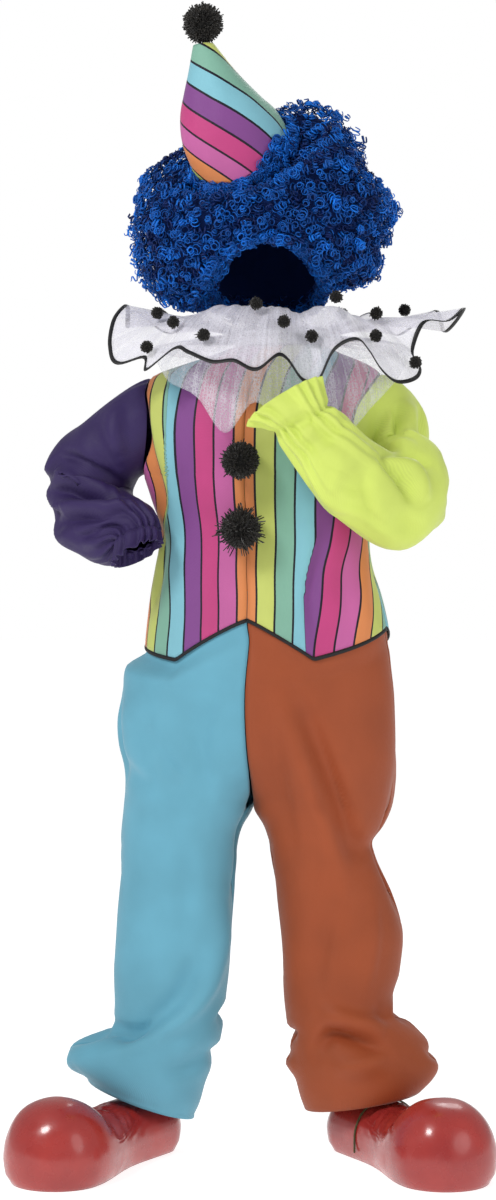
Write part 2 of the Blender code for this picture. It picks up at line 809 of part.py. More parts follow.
class Overshoe:
    """The shape of one overshoe: a heel and a toe circle in plan, joined by a waist."""

    def __init__(self, heel, toe):
        self.heel, self.toe = heel, toe
        self.along = toe - heel
        self.length = float(np.linalg.norm(self.along))
        self.along = self.along / self.length
        self.across = np.array((-self.along[1], self.along[0]))
        self.crest = curve(CREST)

    def half_width(self, share):
        grown = HEEL_RADIUS + (TOE_RADIUS - HEEL_RADIUS) * ease(share)
        return grown - WAIST * math.sin(math.pi * min(max(share, 0.0), 1.0)) ** 2

    def outline(self, turn, inset=0.0):
        """The widest line in plan, at a turn from 0 to 1 from the toe's tip round."""
        side = 1 if turn < 0.5 else -1
        way = turn * 2 if side > 0 else 2 - turn * 2
        if way < 0.4:
            angle = way / 0.4 * math.pi / 2
            reach = TOE_RADIUS - inset
            return self.toe + self.along * reach * math.cos(angle) + (
                self.across * side * reach * math.sin(angle))
        if way < 0.7:
            share = 1 - (way - 0.4) / 0.3
            width = self.half_width(share) - inset
            return self.heel + self.along * self.length * share + self.across * side * width
        angle = math.pi / 2 * (1 + (way - 0.7) / 0.3)
        reach = HEEL_RADIUS - inset
        return self.heel + self.along * reach * math.cos(angle) + (
            self.across * side * reach * math.sin(angle))

    def height(self, place, inset):
        """How high the upper stands over a place in plan."""
        share = float((place - self.heel) @ self.along) / self.length
        if share > 1:
            off = np.linalg.norm(place - self.toe) / (TOE_RADIUS - inset)
        elif share < 0:
            off = np.linalg.norm(place - self.heel) / (HEEL_RADIUS - inset)
        else:
            off = abs(float((place - self.heel) @ self.across))
            off /= self.half_width(share) - inset
        ball = (1 - share) * self.length / TOE_RADIUS if share < 1 else 0.0
        ball = SIDE_HEIGHT + (TOE_HEIGHT - SIDE_HEIGHT) * math.sqrt(max(0.0, 1 - ball**2))
        top = max(self.crest(share)[0], ball) - inset
        return SIDE_HEIGHT + (top - SIDE_HEIGHT) * max(0.0, 1 - min(off, 1.0) ** 2.4) ** 0.5

    def grid(self, inset, rings=8):
        """From the sole's middle out to the widest line, and over the upper to the ankle."""
        turns = [c / SHOE_COLUMNS for c in range(SHOE_COLUMNS)]
        middle = (self.heel + self.toe) / 2
        sole = [self.outline(t, inset + SOLE_TUCK) for t in turns]
        low = [self.outline(t, inset + SOLE_TUCK * 0.3) for t in turns]
        wide = [self.outline(t, inset) for t in turns]
        rows = [[(*middle, FLOOR + inset)] * SHOE_COLUMNS]
        rows.append([(*(middle + (p - middle) * 0.5), FLOOR + inset) for p in sole])
        rows.append([(*p, FLOOR + inset) for p in sole])
        rows.append([(*p, FLOOR + SIDE_HEIGHT * 0.4) for p in low])
        for ring in range(rings + 1):
            inward = 1 - math.cos(ring / rings * math.pi / 2)
            row = []
            for place in wide:
                ray = (place - self.heel) / np.linalg.norm(place - self.heel)
                rim = self.heel + ray * ANKLE_OPENING
                spot = place + (rim - place) * inward
                row.append((*spot, FLOOR + self.height(spot, inset)))
            rows.append(row)
        return np.array(rows)


def overshoes(latex, elastic):
    for name, heel_x, heel_y, toe_x, toe_y in SHOES:
        shoe = Overshoe(np.array((heel_x, heel_y), float), np.array((toe_x, toe_y), float))
        skin("overshoe_" + name, shoe.grid(0.0), shoe.grid(SHOE_WALL), latex, True, True)
    tie("overshoe_tie", shoe, elastic)


def tie(name, shoe, finish):
    """The elastic over the left overshoe's waist, from one edge of the sole to the other."""
    lift = TIE_RADIUS + SEAM + 0.8
    width = shoe.half_width(TIE_PLACE)
    seat = shoe.heel + shoe.along * shoe.length * TIE_PLACE
    points = []
    for turn in np.linspace(0, math.pi, 17):
        side = math.cos(turn)
        place = seat + shoe.across * width * side
        z = shoe.height(place, 0.0) + lift * math.sin(turn)
        points.append((*(place + shoe.across * lift * side), FLOOR + z))
    for end in (0, -1):
        edge = np.array(points[end])
        drop = edge + np.array((0, 0, -0.6 * SIDE_HEIGHT))
        points.insert(0, drop) if end == 0 else points.append(drop)
    data = bpy.data.curves.new(name, "CURVE")
    data.dimensions = "3D"
    data.bevel_depth = TIE_RADIUS * MM
    data.bevel_resolution = 1
    data.use_fill_caps = True
    line = data.splines.new("POLY")
    line.points.add(len(points) - 1)
    for point, place in zip(line.points, points):
        point.co = (*(np.array(place) * MM), 1.0)
    data.materials.append(finish)
    made = bpy.data.objects.new(name, data)
    bpy.context.scene.collection.objects.link(made)


def main():
    for old in list(bpy.data.objects):
        bpy.data.objects.remove(old, do_unlink=True)
    striped = material("striped_gabardine", (0.55, 0.16, 0.35), 0.7)
    black = material("black_tape", (0.01, 0.01, 0.012), 0.6)
    purple = material("purple_gabardine", (0.05, 0.02, 0.12), 0.7)
    lime = material("lime_gabardine", (0.62, 0.75, 0.12), 0.7)
    blue = material("blue_gabardine", (0.13, 0.42, 0.58), 0.7)
    orange = material("orange_gabardine", (0.42, 0.09, 0.03), 0.7)
    organza = material("white_organza", (0.8, 0.8, 0.82), 0.5)
    tulle = material("white_tulle", (0.75, 0.75, 0.78), 0.6)
    yarn = material("black_yarn", (0.01, 0.01, 0.01), 0.95)
    curls = material("blue_wig_fibre", (0.01, 0.05, 0.3), 0.45)
    latex = material("red_latex", (0.5, 0.03, 0.03), 0.25)
    elastic = material("olive_elastic", (0.12, 0.12, 0.02), 0.7)
    bodice(striped, black)
    trousers(blue, orange)
    sleeves(purple, lime)
    ruff(organza, tulle, black, yarn, tulle)
    front_pompoms(yarn)
    hat(striped, yarn)
    wig(curls)
    overshoes(latex, elastic)


main()
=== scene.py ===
"""A child's clown costume, as worn: striped jumpsuit with two-tone sleeves and trousers,
tulle ruff, cone hat, curly wig and big-toed overshoes.

Sizes are millimetres until a mesh is made. +X is the wearer's left, -Y the front, +Z up.
"""

import math

import bpy
import numpy as np
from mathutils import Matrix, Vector


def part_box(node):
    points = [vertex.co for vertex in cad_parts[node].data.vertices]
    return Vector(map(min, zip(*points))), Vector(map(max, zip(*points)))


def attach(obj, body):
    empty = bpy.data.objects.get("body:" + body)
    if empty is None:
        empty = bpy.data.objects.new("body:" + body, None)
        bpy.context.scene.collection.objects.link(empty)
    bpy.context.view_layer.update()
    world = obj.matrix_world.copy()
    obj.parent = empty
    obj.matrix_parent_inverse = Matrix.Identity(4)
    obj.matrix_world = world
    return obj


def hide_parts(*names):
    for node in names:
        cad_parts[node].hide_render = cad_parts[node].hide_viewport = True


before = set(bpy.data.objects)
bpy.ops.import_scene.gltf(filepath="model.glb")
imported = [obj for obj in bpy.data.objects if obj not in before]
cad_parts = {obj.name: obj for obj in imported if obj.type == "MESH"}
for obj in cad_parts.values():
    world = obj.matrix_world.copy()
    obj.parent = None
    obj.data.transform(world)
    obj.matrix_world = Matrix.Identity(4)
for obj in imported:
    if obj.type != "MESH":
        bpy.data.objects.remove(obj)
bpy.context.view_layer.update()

MM = 0.001  # metres in a millimetre
FLOOR = -1044.0
CLOTH = 1.1  # thickness of the gabardine
NET = 0.5  # thickness of organza and tulle
SEAM = 0.4  # gap between two sewn pieces
STRIPE = 27.5  # width of one printed stripe
STRIPE_LINE = 3.0  # width of the black line between two stripes
TUCK = 3.5  # how far the trousers lie inside the bodice

# --- The body's tube ----------------------------------------------------------

TORSO = (
    # z, middle, half_width, front, back, turn
    (-400, 12, 166, 104, 107, 14),
    (-343, 12, 162, 98, 100, 16),
    (-304, 11, 155, 92, 92, 16),
    (-273, 9, 147, 88, 88, 16),
    (-219, 9, 141, 86, 86, 16),
    (-177, 3, 146, 92, 90, 13),
    (-121, -3, 154, 98, 94, 9),
    (-65, -1, 159, 96, 92, 9),
    (-32, 6, 160, 86, 85, 10),
    (-12, 13, 148, 76, 77, 11),
    (0, 20, 122, 68, 71, 12),
    (12, 27, 88, 60, 64, 12),
    (22, 33, 62, 56, 59, 12),
)
NECK = 22.0
ROUNDNESS = 0.88  # below 1, the sections are squarer than an ellipse
HEM = (
    # angle from centre front, z
    (-180, -350),
    (-142, -384),
    (-90, -368),
    (-35, -388),
    (0, -336),
    (28, -386),
    (90, -346),
    (138, -380),
    (180, -350),
)
HEM_LEVEL = -365.0
ARMHOLE_MIDDLE = -80.0
ARMHOLE_HALF_HEIGHT = 67.0
ARMHOLE_HALF_ANGLE = 34.0
ARMHOLE_TUCK = 4.5

# --- The trousers -------------------------------------------------------------

HIPS = (
    # z, wrap: the degrees that each panel goes round
    (-300, 90),
    (-402, 90),
    (-431, 91),
    (-472, 96),
    (-504, 108),
    (-534, 126),
    (-562, 150),
    (-590, 180),
    (-612, 180),
    (-669, 180),
)
RIGHT_LEG = (
    # z, outer, inner, middle_y, front, back, slope
    (-300, -140, 0, 0, 86, 88, 0),
    (-372, -153, 0, 0, 96, 102, 0),
    (-384, -169, 0, 0, 98, 106, 0),
    (-402, -177, 0, 0, 101, 110, 0),
    (-431, -182, 0, 0, 103, 113, 0),
    (-472, -189, 0, 0, 104, 115, 0),
    (-504, -186, 0, 0, 102, 114, 0),
    (-534, -178, 0, 0, 99, 111, 0),
    (-562, -176, 0, 0, 95, 107, 0),
    (-590, -178, -2, -1, 90, 100, 0),
    (-612, -180, -13, -2, 86, 93, 0),
    (-669, -182, -19, -5, 80, 84, 0),
    (-730, -186, -24, -8, 76, 78, 0),
    (-797, -190, -28, -12, 72, 73, 0),
    (-856, -189, -35, -15, 70, 70, 0),
    (-876, -192, -37, -16, 70, 70, -0.02),
    (-890, -216, -40, -17, 73, 72, -0.05),
    (-910, -242, -48, -18, 76, 74, -0.12),
    (-930, -249, -59, -18, 76, 74, -0.2),
    (-950, -240, -67, -18, 72, 70, -0.3),
    (-966, -224, -75, -18, 64, 62, -0.36),
)
LEFT_LEG = (
    # z, outer, inner, middle_y, front, back, slope
    (-300, 162, 0, 0, 86, 88, 0),
    (-372, 173, 0, 0, 96, 102, 0),
    (-384, 175, 0, 0, 98, 106, 0),
    (-402, 177, 0, 0, 101, 110, 0),
    (-431, 180, 0, 0, 103, 113, 0),
    (-472, 181, 0, 0, 104, 115, 0),
    (-504, 181, 0, 0, 102, 114, 0),
    (-534, 180, 0, 0, 99, 111, 0),
    (-562, 177, 0, 0, 95, 107, 0),
    (-590, 172, 2, -1, 90, 100, 0),
    (-612, 163, 15, -2, 86, 93, 0),
    (-634, 150, 22, -4, 83, 89, 0),
    (-650, 154, 24, -6, 80, 86, 0),
    (-700, 176, 31, -8, 78, 80, 0),
    (-750, 191, 37, -10, 76, 76, 0),
    (-802, 187, 41, -12, 74, 73, 0),
    (-846, 179, 44, -15, 71, 70, 0),
    (-868, 196, 47, -16, 72, 71, 0.02),
    (-905, 228, 52, -18, 77, 75, 0.05),
    (-932, 239, 57, -18, 77, 75, 0.09),
    (-955, 230, 64, -18, 73, 71, 0.14),
    (-972, 214, 71, -18, 65, 63, 0.18),
)
CENTRE = (
    # z, middle, turn
    (-620, -9, 0),
    (-590, -9, 0),
    (-504, -5, 6),
    (-431, -3, 8),
    (-372, 3, 9),
    (-300, 10, 12),
)
TROUSER_TOP, TROUSER_END = -330.0, -970.0
HEM_DEPTH = 17.0  # from the trousers' lower edge up to its stitching

# --- The sleeves --------------------------------------------------------------

RIGHT_SLEEVE = (
    # place, outer_x, outer_z, crook_x, crook_z, y, depth
    (0.0, -168, -12, -158, -148, 0, 56),
    (0.10, -193, -37, -161, -147, 9, 57),
    (0.20, -230, -73, -163, -151, 24, 56),
    (0.31, -268, -99, -166, -157, 42, 55),
    (0.42, -288, -137, -169, -165, 50, 54),
    (0.52, -282, -181, -168, -173, 42, 53),
    (0.62, -260, -226, -162, -180, 20, 51),
    (0.72, -232, -252, -149, -187, -10, 47),
    (0.81, -210, -254, -137, -196, -38, 40),
    (0.90, -189, -240, -129, -219, -58, 25),
    (1.0, -188, -268, -128, -237, -66, 33),
)
LEFT_SLEEVE = (
    # place, outer_x, outer_z, crook_x, crook_z, y, depth
    (0.0, 160, -12, 158, -148, 0, 56),
    (0.10, 197, -21, 164, -146, -4, 56),
    (0.22, 214, -60, 166, -142, -14, 55),
    (0.34, 220, -108, 163, -141, -28, 54),
    (0.44, 244, -158, 160, -136, -54, 54),
    (0.53, 230, -214, 154, -130, -86, 54),
    (0.62, 181, -247, 144, -119, -122, 53),
    (0.71, 118, -219, 127, -103, -152, 52),
    (0.81, 69, -174, 109, -82, -172, 48),
    (0.91, 18, -103, 88, -67, -187, 30),
    (1.0, -14, -90, 77, -34, -183, 34),
)

# --- The ruff -----------------------------------------------------------------

RUFF_UPPER = (
    # angle, reach, z, crest
    (2, 238, 76, 8),
    (14, 224, 50, 10),
    (27, 234, 84, 8),
    (42, 214, 56, 8),
    (57, 230, 92, 6),
    (72, 210, 60, 8),
    (88, 226, 94, 6),
    (104, 210, 60, 8),
    (120, 228, 90, 6),
    (136, 212, 58, 8),
    (152, 228, 84, 6),
    (166, 212, 56, 8),
    (178, 206, 80, 10),
    (187, 222, 56, 16),
    (194, 231, 22, 22),
    (202, 226, -4, 30),
    (207, 200, 4, 30),
    (212, 208, -14, 34),
    (220, 184, 12, 34),
    (230, 187, 5, 36),
    (241, 189, -9, 38),
    (250, 187, -9, 38),
    (259, 183, -20, 38),
    (268, 168, 0, 34),
    (279, 160, -32, 34),
    (286, 158, -30, 34),
    (292, 162, 6, 34),
    (299, 182, 20, 30),
    (306, 180, 8, 34),
    (313, 178, -14, 36),
    (320, 184, -29, 34),
    (328, 193, -26, 32),
    (336, 192, -10, 26),
    (343, 174, 18, 20),
    (348, 184, 52, 14),
    (354, 214, 56, 8),
)
RUFF_LOWER = (
    # angle, reach, z, crest
    (0, 168, 18, 4),
    (40, 185, 22, 2),
    (90, 190, 26, 0),
    (140, 185, 22, 2),
    (180, 172, 18, 4),
    (205, 162, -30, 14),
    (222, 150, -52, 16),
    (236, 138, -98, 14),
    (252, 128, -60, 16),
    (270, 126, -84, 14),
    (288, 126, -66, 14),
    (306, 132, -100, 12),
    (322, 150, -58, 14),
    (338, 160, -24, 12),
)
RUFF_MIDDLE = (33.0, 0.0)
RUFF_SEAM = 64.0
RUFF_UPPER_SEAM = 42.0
RUFF_LOWER_SEAM = 34.0
BAND = (22.6, 46.0, 61.0)  # neck band: bottom, top, radius

# --- Hat, wig and overshoes ---------------------------------------------------

HAT = (
    # place, right_x, right_z, left_x, left_z, y, depth, dip
    (0.0, -84, 409, -58, 411, -66, 13, 0),
    (0.16, -89, 382, -42, 392, -64, 23, 3),
    (0.38, -96, 349, -20, 368, -60, 34, 9),
    (0.62, -101, 316, 5, 343, -55, 42, 20),
    (0.82, -98, 286, 25, 322, -50, 44, 35),
    (1.0, -86, 258, 40, 296, -46, 44, 48),
)
WIG_OUTLINE = (
    # bearing, reach
    (-60, 104),
    (-34, 114),
    (-18, 154),
    (5, 168),
    (14, 181),
    (32, 166),
    (52, 184),
    (76, 198),
    (92, 172),
    (112, 158),
    (134, 172),
    (158, 190),
    (182, 182),
    (204, 168),
    (216, 150),
    (230, 112),
    (262, 104),
)
WIG_MIDDLE = np.array((13.0, 5.0, 165.0))
WIG_DEPTH = 150.0
HEAD = (82.0, 98.0, 112.0)  # half sizes of the hollow in the wig
WIG_AXIS = np.array((0.0, -0.70, -0.714))
WIG_OPENING = (
    # bearing, width
    (0, 40),
    (45, 38),
    (78, 39),
    (100, 47),
    (112, 52),
    (135, 66),
    (180, 80),
    (225, 66),
    (248, 52),
    (260, 47),
    (282, 39),
    (315, 38),
)
HAT_SEAT = np.array((-0.277, -0.398, 0.874))
BRIM_AXIS = np.array((-0.200, -0.722, 0.662))
BRIM_LEVEL = 113.0
BRIM_CLEAR = (0.68, 0.77)
UNDER_HAT = 0.93  # the hat's seat beyond which nothing grows
RINGLETS = 4500
RINGLET_STEPS = 16
CLUMPS = 430
FRINGE = 620
LAPPING = 34  # curls at each place round the brim
OVER_BRIM = (
    # place round the brim, how far curls climb over it
    (0.06, 5),
    (0.14, 4),
    (0.2, 5),
    (0.26, 7),
    (0.31, 12),
    (0.35, 22),
    (0.39, 30),
    (0.43, 22),
    (0.47, 10),
    (0.54, 8),
)

SHOES = (
    # name, heel_x, heel_y, toe_x, toe_y
    ("right", -150, 6, -253, -168),
    ("left", 140, 6, 232, -170),
)
TOE_RADIUS = 67.0
TOE_HEIGHT = 103.0
HEEL_RADIUS = 47.0
WAIST = 9.0
CREST = ((-0.3, 66), (0.0, 70), (0.3, 74), (0.5, 72), (0.62, 71))
SIDE_HEIGHT = 30.0
SOLE_TUCK = 9.0
ANKLE_OPENING = 34.0
TIE_PLACE = 0.3
TIE_RADIUS = 1.3

# --- Creases ------------------------------------------------------------------
# Each has the side that its cloth faces, its width, its depth (a trough is negative) and its
# path, as X and Z on the front and back, or as Y and Z on the wearer's left and right.

BODICE_CREASES = (
    ("front", 9, -6.0, ((-162, -30), (-152, -70), (-142, -115), (-128, -160), (-119, -200))),
    ("front", 13, 4.8, ((-118, -20), (-116, -80), (-114, -150), (-112, -215))),
    ("front", 10, -3.6, ((-122, -225), (-133, -280), (-136, -340))),
    ("front", 12, 5.6, ((74, -205), (62, -260), (56, -310), (62, -380))),
    ("front", 9, -5.6, ((96, -215), (80, -262), (68, -310), (71, -352))),
    ("front", 13, -3.6, ((118, -240), (110, -290), (117, -330), (108, -362))),
    ("front", 14, 3.6, ((140, -260), (136, -310), (142, -350))),
    ("front", 20, -2.4, ((-60, -240), (-66, -300), (-58, -350))),
    ("front", 16, 2.2, ((10, -290), (14, -340), (10, -365))),
    ("front", 22, -2.6, ((20, -100), (30, -160), (22, -215))),
    ("back", 16, -4.8, ((-70, -60), (-56, -130), (-34, -190), (-20, -240))),
    ("back", 13, -4.2, ((84, -70), (64, -140), (52, -200))),
    ("back", 20, 3.6, ((-100, -230), (-88, -290), (-96, -350))),
    ("back", 15, -4.2, ((96, -230), (86, -285), (92, -330))),
    ("back", 12, -3.2, ((-40, -250), (-52, -300), (-48, -335))),
    ("back", 24, 4.2, ((28, -220), (34, -290), (24, -340))),
    ("left", 14, -4.8, ((-30, -190), (-18, -250), (-34, -330))),
    ("left", 16, -3.6, ((30, -200), (22, -270), (34, -340))),
    ("right", 14, -4.8, ((10, -200), (-6, -260), (6, -345))),
    ("right", 18, 3.6, ((48, -210), (38, -280), (50, -350))),
)
TROUSER_CREASES = (
    ("front", 18.7, 13.5, ((-46, -700), (-50, -760), (-72, -826), (-118, -868), (-170, -893))),
    ("front", 13.7, -13.5, ((-76, -772), (-98, -826), (-140, -862), (-186, -886))),
    ("front", 8.6, -11.6, ((-196, -868), (-178, -874), (-156, -872), (-136, -862))),
    ("front", 15.8, -6.6, ((-60, -430), (-72, -500), (-66, -580))),
    ("front", 21.6, 5.8, ((-120, -420), (-132, -500), (-128, -600))),
    ("front", 14.4, -5.8, ((-150, -470), (-120, -520), (-90, -545))),
    ("front", 11.5, -5.8, ((-178, -520), (-160, -540), (-130, -548))),
    ("front", 17.3, -5.8, ((-96, -620), (-90, -690), (-100, -760))),
    ("front", 13, -7.7, ((-60, -900), (-92, -920), (-128, -918))),
    ("front", 14.4, -15.3, ((54, -430), (84, -506), (108, -570), (124, -620), (142, -660))),
    ("front", 17.3, 11.6, ((30, -440), (58, -520), (86, -600), (112, -680))),
    ("front", 15.8, -7.7, ((22, -470), (30, -560), (48, -650))),
    ("front", 10.1, -21.1, ((74, -898), (88, -876), (106, -872), (134, -880), (164, -896))),
    ("front", 14.4, 13.5, ((80, -842), (106, -850), (140, -862), (168, -872))),
    ("front", 14.4, 11.6, ((96, -912), (130, -912), (168, -902))),
    ("front", 17.3, -7.7, ((96, -700), (84, -760), (74, -820))),
    ("front", 11.5, 5.8, ((150, -700), (150, -760), (140, -820))),
    ("front", 9.4, -7.7, ((150, -838), (164, -850), (182, -862))),
    ("back", 18.7, -13.5, ((-40, -420), (-66, -480), (-88, -560), (-104, -640))),
    ("back", 15.8, -11.6, ((20, -400), (52, -470), (92, -540), (128, -590))),
    ("back", 24.5, 11.6, ((-120, -440), (-116, -540), (-124, -660))),
    ("back", 17.3, -9.6, ((-130, -720), (-104, -790), (-80, -850))),
    ("back", 13, -13.5, ((-190, -884), (-150, -876), (-112, -892))),
    ("back", 18.7, 9.6, ((84, -640), (104, -720), (112, -800))),
    ("back", 11.5, -15.3, ((62, -880), (104, -872), (150, -890), (188, -884))),
    ("back", 14.4, -9.6, ((150, -680), (128, -750), (96, -812))),
    ("back", 15.8, 9.6, ((-180, -920), (-130, -914), (-90, -930))),
    ("left", 14.4, -11.6, ((-20, -560), (-6, -640), (-24, -730))),
    ("left", 17.3, 9.6, ((30, -470), (36, -560), (24, -650))),
    ("left", 10.1, -13.5, ((-50, -862), (-14, -852), (24, -864))),
    ("left", 11.5, -9.6, ((-60, -900), (-18, -908), (34, -898))),
    ("right", 15.8, -9.6, ((10, -430), (-4, -500), (-16, -560))),
    ("right", 14.4, -9.6, ((-16, -640), (6, -720), (-6, -800))),
    ("right", 10.1, -13.5, ((-56, -876), (-18, -884), (28, -872))),
    ("right", 11.5, 9.6, ((-50, -916), (-12, -924), (30, -914))),
)
RIGHT_SLEEVE_CREASES = (
    ("front", 8.1, -16.1, ((-268, -112), (-240, -126), (-206, -146), (-176, -158))),
    ("front", 9.9, 11.5, ((-284, -140), (-250, -146), (-214, -160), (-180, -168))),
    ("front", 7.2, -16.1, ((-288, -168), (-256, -166), (-222, -176), (-176, -178))),
    ("front", 10.8, 13.8, ((-276, -190), (-244, -186), (-204, -190), (-164, -186))),
    ("front", 7.2, -13.8, ((-266, -214), (-238, -204), (-200, -202), (-162, -196))),
    ("front", 8.1, -11.5, ((-244, -236), (-220, -222), (-190, -214), (-156, -206))),
    ("front", 11.7, -9.2, ((-214, -66), (-210, -96), (-196, -128), (-180, -146))),
    ("front", 12.6, 9.2, ((-186, -50), (-188, -86), (-182, -124))),
    ("back", 10.8, -16.1, ((-250, -100), (-216, -124), (-184, -140))),
    ("back", 9, -16.1, ((-276, -150), (-236, -158), (-190, -164))),
    ("back", 12.6, 13.8, ((-272, -180), (-232, -184), (-184, -182))),
    ("back", 9, -11.5, ((-256, -212), (-216, -206), (-168, -200))),
    ("back", 14.4, -9.2, ((-200, -50), (-196, -90), (-182, -126))),
    ("right", 10.8, -13.8, ((8, -120), (34, -146), (72, -150))),
    ("right", 9, -11.5, ((-6, -190), (24, -196), (58, -180))),
    ("right", 14.4, 11.5, ((-20, -220), (10, -226), (44, -212))),
)
LEFT_SLEEVE_CREASES = (
    ("front", 7.6, -19.6, ((154, -126), (164, -140), (176, -152), (190, -174), (196, -194))),
    ("front", 11.4, 13.7, ((166, -122), (184, -138), (204, -160), (212, -190))),
    ("front", 7.6, -13.7, ((152, -122), (172, -127), (198, -131), (224, -140))),
    ("front", 10.4, 9.8, ((158, -104), (182, -110), (206, -116))),
    ("front", 8.5, -11.8, ((156, -110), (174, -98), (182, -78), (178, -56))),
    ("front", 14.2, 9.8, ((192, -96), (198, -72), (194, -46))),
    ("front", 17.1, -11.8, ((140, -140), (128, -172), (134, -204), (152, -228))),
    ("front", 20.9, 11.8, ((100, -150), (92, -176), (108, -206))),
    ("front", 15.2, -9.8, ((104, -100), (84, -112), (64, -126), (52, -146))),
    ("front", 9.5, 7.8, ((78, -74), (92, -84), (100, -98))),
    ("front", 13.3, -7.8, ((60, -78), (50, -96), (40, -118))),
    ("front", 15.2, -9.8, ((170, -196), (186, -216), (206, -226))),
    ("back", 13.3, -11.8, ((200, -60), (186, -96), (172, -130))),
    ("back", 11.4, -13.7, ((236, -130), (208, -142), (176, -142))),
    ("back", 15.2, 9.8, ((240, -170), (212, -172), (182, -160))),
    ("back", 11.4, -9.8, ((206, -230), (178, -208), (160, -170))),
    ("left", 11.4, -11.8, ((-70, -130), (-40, -142), (-6, -134))),
    ("left", 10.4, -11.8, ((-96, -176), (-64, -170), (-26, -180))),
    ("left", 17.1, 9.8, ((-90, -206), (-60, -204), (-40, -190))),
    ("left", 13.3, -7.8, ((-10, -50), (-20, -84), (-14, -112))),
)
HAT_CREASES = (
    ("front", 14, -1.6, ((-80, 372), (-62, 338), (-66, 300))),
    ("front", 18, 1.4, ((-40, 370), (-20, 336), (-10, 312))),
    ("back", 16, -2.0, ((-60, 380), (-44, 340), (-30, 300))),
    ("back", 14, 1.6, ((-84, 350), (-80, 316), (-70, 290))),
)
VIEWS = {
    "front": ((0, -1, 0), (0, 2)),
    "back": ((0, 1, 0), (0, 2)),
    "left": ((1, 0, 0), (1, 2)),
    "right": ((-1, 0, 0), (1, 2)),
}


# --- Reading tables -----------------------------------------------------------


def curve(rows):
    """A function that reads a table's columns on a smooth curve through its rows."""
    rows = np.array(sorted(rows, key=lambda row: row[0]), float)
    keys = rows[:, 0]
    slopes = np.gradient(rows, keys, axis=0)

    def read(at):
        at = np.clip(np.asarray(at, float), keys[0], keys[-1])
        i = np.clip(np.searchsorted(keys, at) - 1, 0, len(keys) - 2)
        step = (keys[i + 1] - keys[i])[..., None]
        t = (at[..., None] - keys[i][..., None]) / step
        start = (1 + 2 * t) * (1 - t) ** 2 * rows[i] + t * (1 - t) ** 2 * step * slopes[i]
        end = t * t * (3 - 2 * t) * rows[i + 1] - t * t * (1 - t) * step * slopes[i + 1]
        return np.moveaxis((start + end)[..., 1:], -1, 0)

    return read


def ring_curve(rows):
    """The same for a table by angle, whose rows go on past both ends so that it closes."""
    rows = sorted(rows)
    before = [(row[0] - 360, *row[1:]) for row in rows[-3:]]
    after = [(row[0] + 360, *row[1:]) for row in rows[:3]]
    return curve(before + rows + after)


def ease(value):
    """0 below 0, 1 above 1, and smooth between them."""
    value = np.clip(value, 0.0, 1.0)
    return value * value * (3 - 2 * value)


def rounded(value):
    return np.sign(value) * np.abs(value) ** ROUNDNESS


def unit(vectors):
    length = np.linalg.norm(vectors, axis=-1, keepdims=True)
    return vectors / np.maximum(length, 1e-9)


def vector(*parts):
    return np.stack(np.broadcast_arrays(*parts), axis=-1)


# --- Shapes of the pieces -----------------------------------------------------

torso = curve(TORSO)
hips = curve(HIPS)
centre_seam = curve(CENTRE)
hat_ring = curve(HAT)


def torso_point(angle, z, out=0.0):
    """Points of the body's tube, by the angle from centre front to the wearer's left."""
    middle, half_width, front, back, turn = torso(z)
    bearing = np.radians(angle)
    depth = np.where(np.abs(angle % 360 - 180) > 90, front, back)
    x = (half_width + out) * rounded(np.sin(bearing))
    y = -(depth + out) * rounded(np.cos(bearing))
    turned = np.radians(turn)
    return vector(
        middle + x * np.cos(turned) + y * np.sin(turned),
        y * np.cos(turned) - x * np.sin(turned),
        z,
    )


def hem_height(angle):
    angles, heights = zip(*HEM)
    return np.interp((angle + 180) % 360 - 180, angles, heights)


def armhole_edge(z):
    reach = (z - ARMHOLE_MIDDLE) / ARMHOLE_HALF_HEIGHT
    return ARMHOLE_HALF_ANGLE * np.sqrt(np.maximum(0.0, 1 - reach * reach))


def bodice_surface(centre, side):
    """From centre front or back (u 0) to the side seam (u 1), hem (v 0) to neck (v 1)."""

    def surface(u, v):
        lean = side - centre
        level = hem_height(centre + lean * u) * (1 - v) + (NECK - 0.5) * v
        edge = lean - math.copysign(1, lean) * armhole_edge(level)
        return torso_point(centre + edge * u, level)

    return surface


def trouser_panel(table, centre, side):
    """From the side seam (u 0) to the centre and inner seam (u 1), with v as the level."""
    leg_at = curve(table)
    outward = math.copysign(1, side)

    def surface(u, v):
        body_angle = side + (centre - side) * u
        follow = ease((v + 440) / 50)
        z = v + (hem_height(body_angle) - HEM_LEVEL) * follow
        outer, inner, middle_y, ahead, behind, slope = leg_at(z)
        wrap = np.minimum(hips(z)[0], 180.0)
        seam_x, turn = centre_seam(z)
        away = SEAM / 2 + CLOTH / 2 * np.maximum(0.0, -np.cos(np.radians(wrap)))
        inner = seam_x + outward * (np.maximum(0.0, inner * outward) + away)
        half = (outer - inner) / (1 - np.cos(np.radians(wrap)))
        angle = np.radians(wrap * u)
        x = outer - half + half * np.cos(angle) - inner
        y = (-ahead if centre == 0 else behind) * rounded(np.sin(angle))
        turn = np.radians(turn)
        leg = vector(
            inner + x * np.cos(turn) + y * np.sin(turn),
            middle_y + y * np.cos(turn) - x * np.sin(turn),
            z + slope * (x + inner - (outer + inner) / 2),
        )
        share = ease((hem_height(body_angle) - 9 - z) / 24)[..., None]
        return torso_point(body_angle, z, -TUCK) * (1 - share) + leg * share

    return surface


def armhole_point(side, turn, shrink):
    """The armhole's edge, at a turn (0 to 1) from the shoulder down its front."""
    angle = 2 * math.pi * turn
    z = ARMHOLE_MIDDLE + (ARMHOLE_HALF_HEIGHT - shrink) * np.cos(angle)
    away = (ARMHOLE_HALF_ANGLE - shrink * 0.5) * np.sin(angle)
    return torso_point(side - math.copysign(1, side) * away, z)


